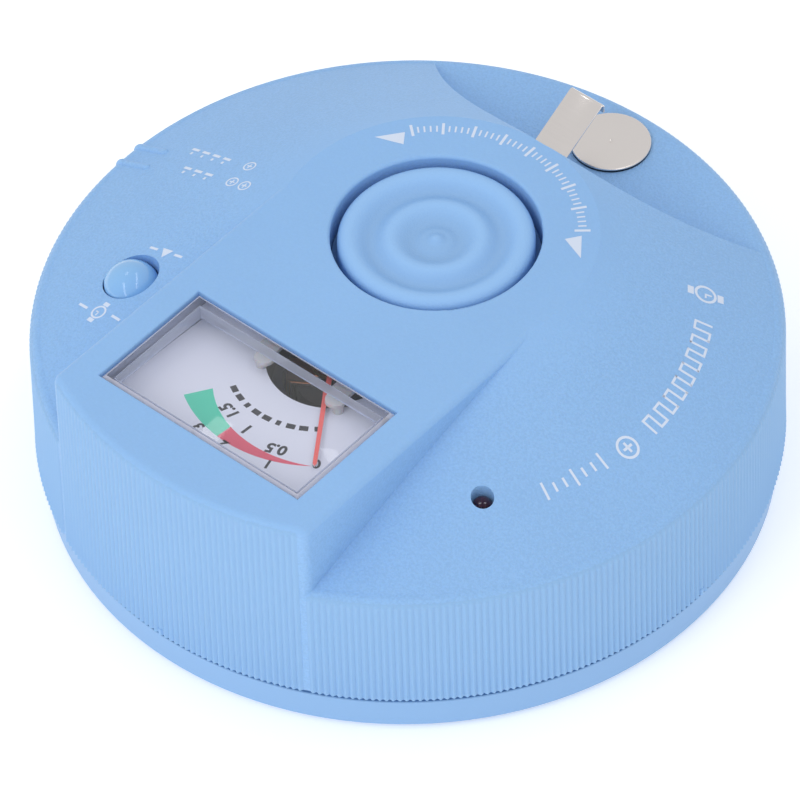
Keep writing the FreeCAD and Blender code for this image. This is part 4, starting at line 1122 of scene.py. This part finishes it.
# %% Marks round the pad: two arrows and a minute track between them
PAD_PLACE = (0.0, pad_centre.y / MM)
TRACK_RADIUS = 21.0
TRACK_HALF = 50.0
TRACK_TICKS = 41
LONG_TICK = (0.42, 2.3)
SHORT_TICK = (0.26, 1.2)
ARROW_RADIUS = 20.2
ARROW_ANGLE = 57.8
ARROW_TURN = 68
pad_print = bmesh.new()
for i in range(TRACK_TICKS):
    angle = -90 - TRACK_HALF + 2 * TRACK_HALF * i / (TRACK_TICKS - 1)
    tick = SHORT_TICK if i % 5 else LONG_TICK
    bar(pad_print, arc_spot(PAD_PLACE, TRACK_RADIUS, angle), 0, 0, *tick)
for side in (-1, 1):
    here = arc_spot(PAD_PLACE, ARROW_RADIUS, -90 + side * ARROW_ANGLE)
    arrow(pad_print, here @ Matrix.Rotation(radians(side * ARROW_TURN), 4, "Z"), 2.5, 4.3)
lay_print("pad_print", pad_print)

# %% Marks on the slope beside the lamp: a watch, a train of pulses, a cell and a row of ticks
WATCH_ANGLE = 219.5
CELL_ANGLE = 177.0
ROW_FIRST = 171.0
ROW_STEP = 2.2
ROW_TICKS = 7
SLOPE_LINE = 0.36
SLOPE_RADIUS = 43.0
PULSE_FIRST = 212.0
PULSE_STEP = 1.9
PULSE_COUNT = 16
PULSE_HEIGHT = 2.6
slope_print = bmesh.new()
watch_sign(slope_print, arc_spot((0, 0), SLOPE_RADIUS, WATCH_ANGLE) @ Matrix.Scale(1.1, 4))
for i in range(PULSE_COUNT):
    angle = PULSE_FIRST - PULSE_STEP * i
    bar(slope_print, arc_spot((0, 0), SLOPE_RADIUS, angle), 0, 0, SLOPE_LINE, PULSE_HEIGHT)
    if i < PULSE_COUNT - 1:
        side = 1 if i % 2 else -1
        link = arc_spot((0, 0), SLOPE_RADIUS + side * (PULSE_HEIGHT / 2 - 0.16), angle - PULSE_STEP / 2)
        bar(slope_print, link, 0, 0, PULSE_STEP * radians(1) * SLOPE_RADIUS + 0.3, 0.34)
cell_sign(slope_print, arc_spot((0, 0), SLOPE_RADIUS, CELL_ANGLE), 0, 1.7)
for i in range(ROW_TICKS):
    here = arc_spot((0, 0), SLOPE_RADIUS - 0.6, ROW_FIRST - ROW_STEP * i)
    bar(slope_print, here, 0, 0, SLOPE_LINE, 1.4 if i % 3 else 2.6)
lay_print("slope_print", slope_print)

# %% Marks beside the push button and above the slide switch
BUTTON_SLANT = -8
arrow_place = spot(31.4, 16.6, 0)
CELL_STEP = 2.6
DASH_LINE = 7.6
DASH_GAP = 2.3
control_print = bmesh.new()
watch_sign(control_print, spot(33.3, 29.3, BUTTON_SLANT) @ Matrix.Scale(0.8, 4))
for x in (30.0, 36.4):
    bar(control_print, spot(x, 29.2, BUTTON_SLANT), 0, 0, 1.8, 0.4)
arrow(control_print, arrow_place, 1.9, 1.6)
for x in (-2.4, 2.4):
    bar(control_print, arrow_place, x, 0, 1.5, 0.4)
for line_y, slant, cells, reach in ((1.5, -4.8, (0, 1), 3), (-2.3, -6.0, (1,), 4)):
    here = spot(29.5, line_y, slant)
    for i in cells:
        cell_sign(control_print, here, CELL_STEP * i, 1.0)
    for i in range(reach):
        bar(control_print, here, DASH_LINE + DASH_GAP * i, 0, 1.5, 0.5)
        bar(control_print, here, DASH_LINE + DASH_GAP * i, 0.95, 0.4, 0.5)
lay_print("control_print", control_print)

# %% [markdown]
# ## Small hard pieces
#
# Screws, feet, the slider and the battery are already right in the solid model, but their edges are
# mathematically sharp, and a sharp edge never catches light. A copy with its edges rounded by a tenth of a
# millimetre looks made. The copy is merged first, because the solid model's triangles are loose.

# %% Rounded copies
def rounded_copy(name, node, made_of, width, segments=2):
    """A copy of a solid piece with rounded edges, on the body that the solid piece belongs to."""
    shape = merged_copy(node)
    soften(shape, width, segments)
    members = frame["record"]["behaviour"]["bodies"]
    body = next(body for body in members if node in members[body])
    piece(name, shape, made_of, body, [node])


rounded_copy("screw_heads", "housing_screws", zinc, 0.08 * MM)
rounded_copy("soft_feet", "rubber_feet", black_rubber, 0.25 * MM, 3)
rounded_copy("switch_slider", "range_slider", black_moulding, 0.12 * MM)
rounded_copy("nine_volt_case", "battery_case", battery_lacquer, 0.3 * MM, 3)

# %% Finish
print("scene built")
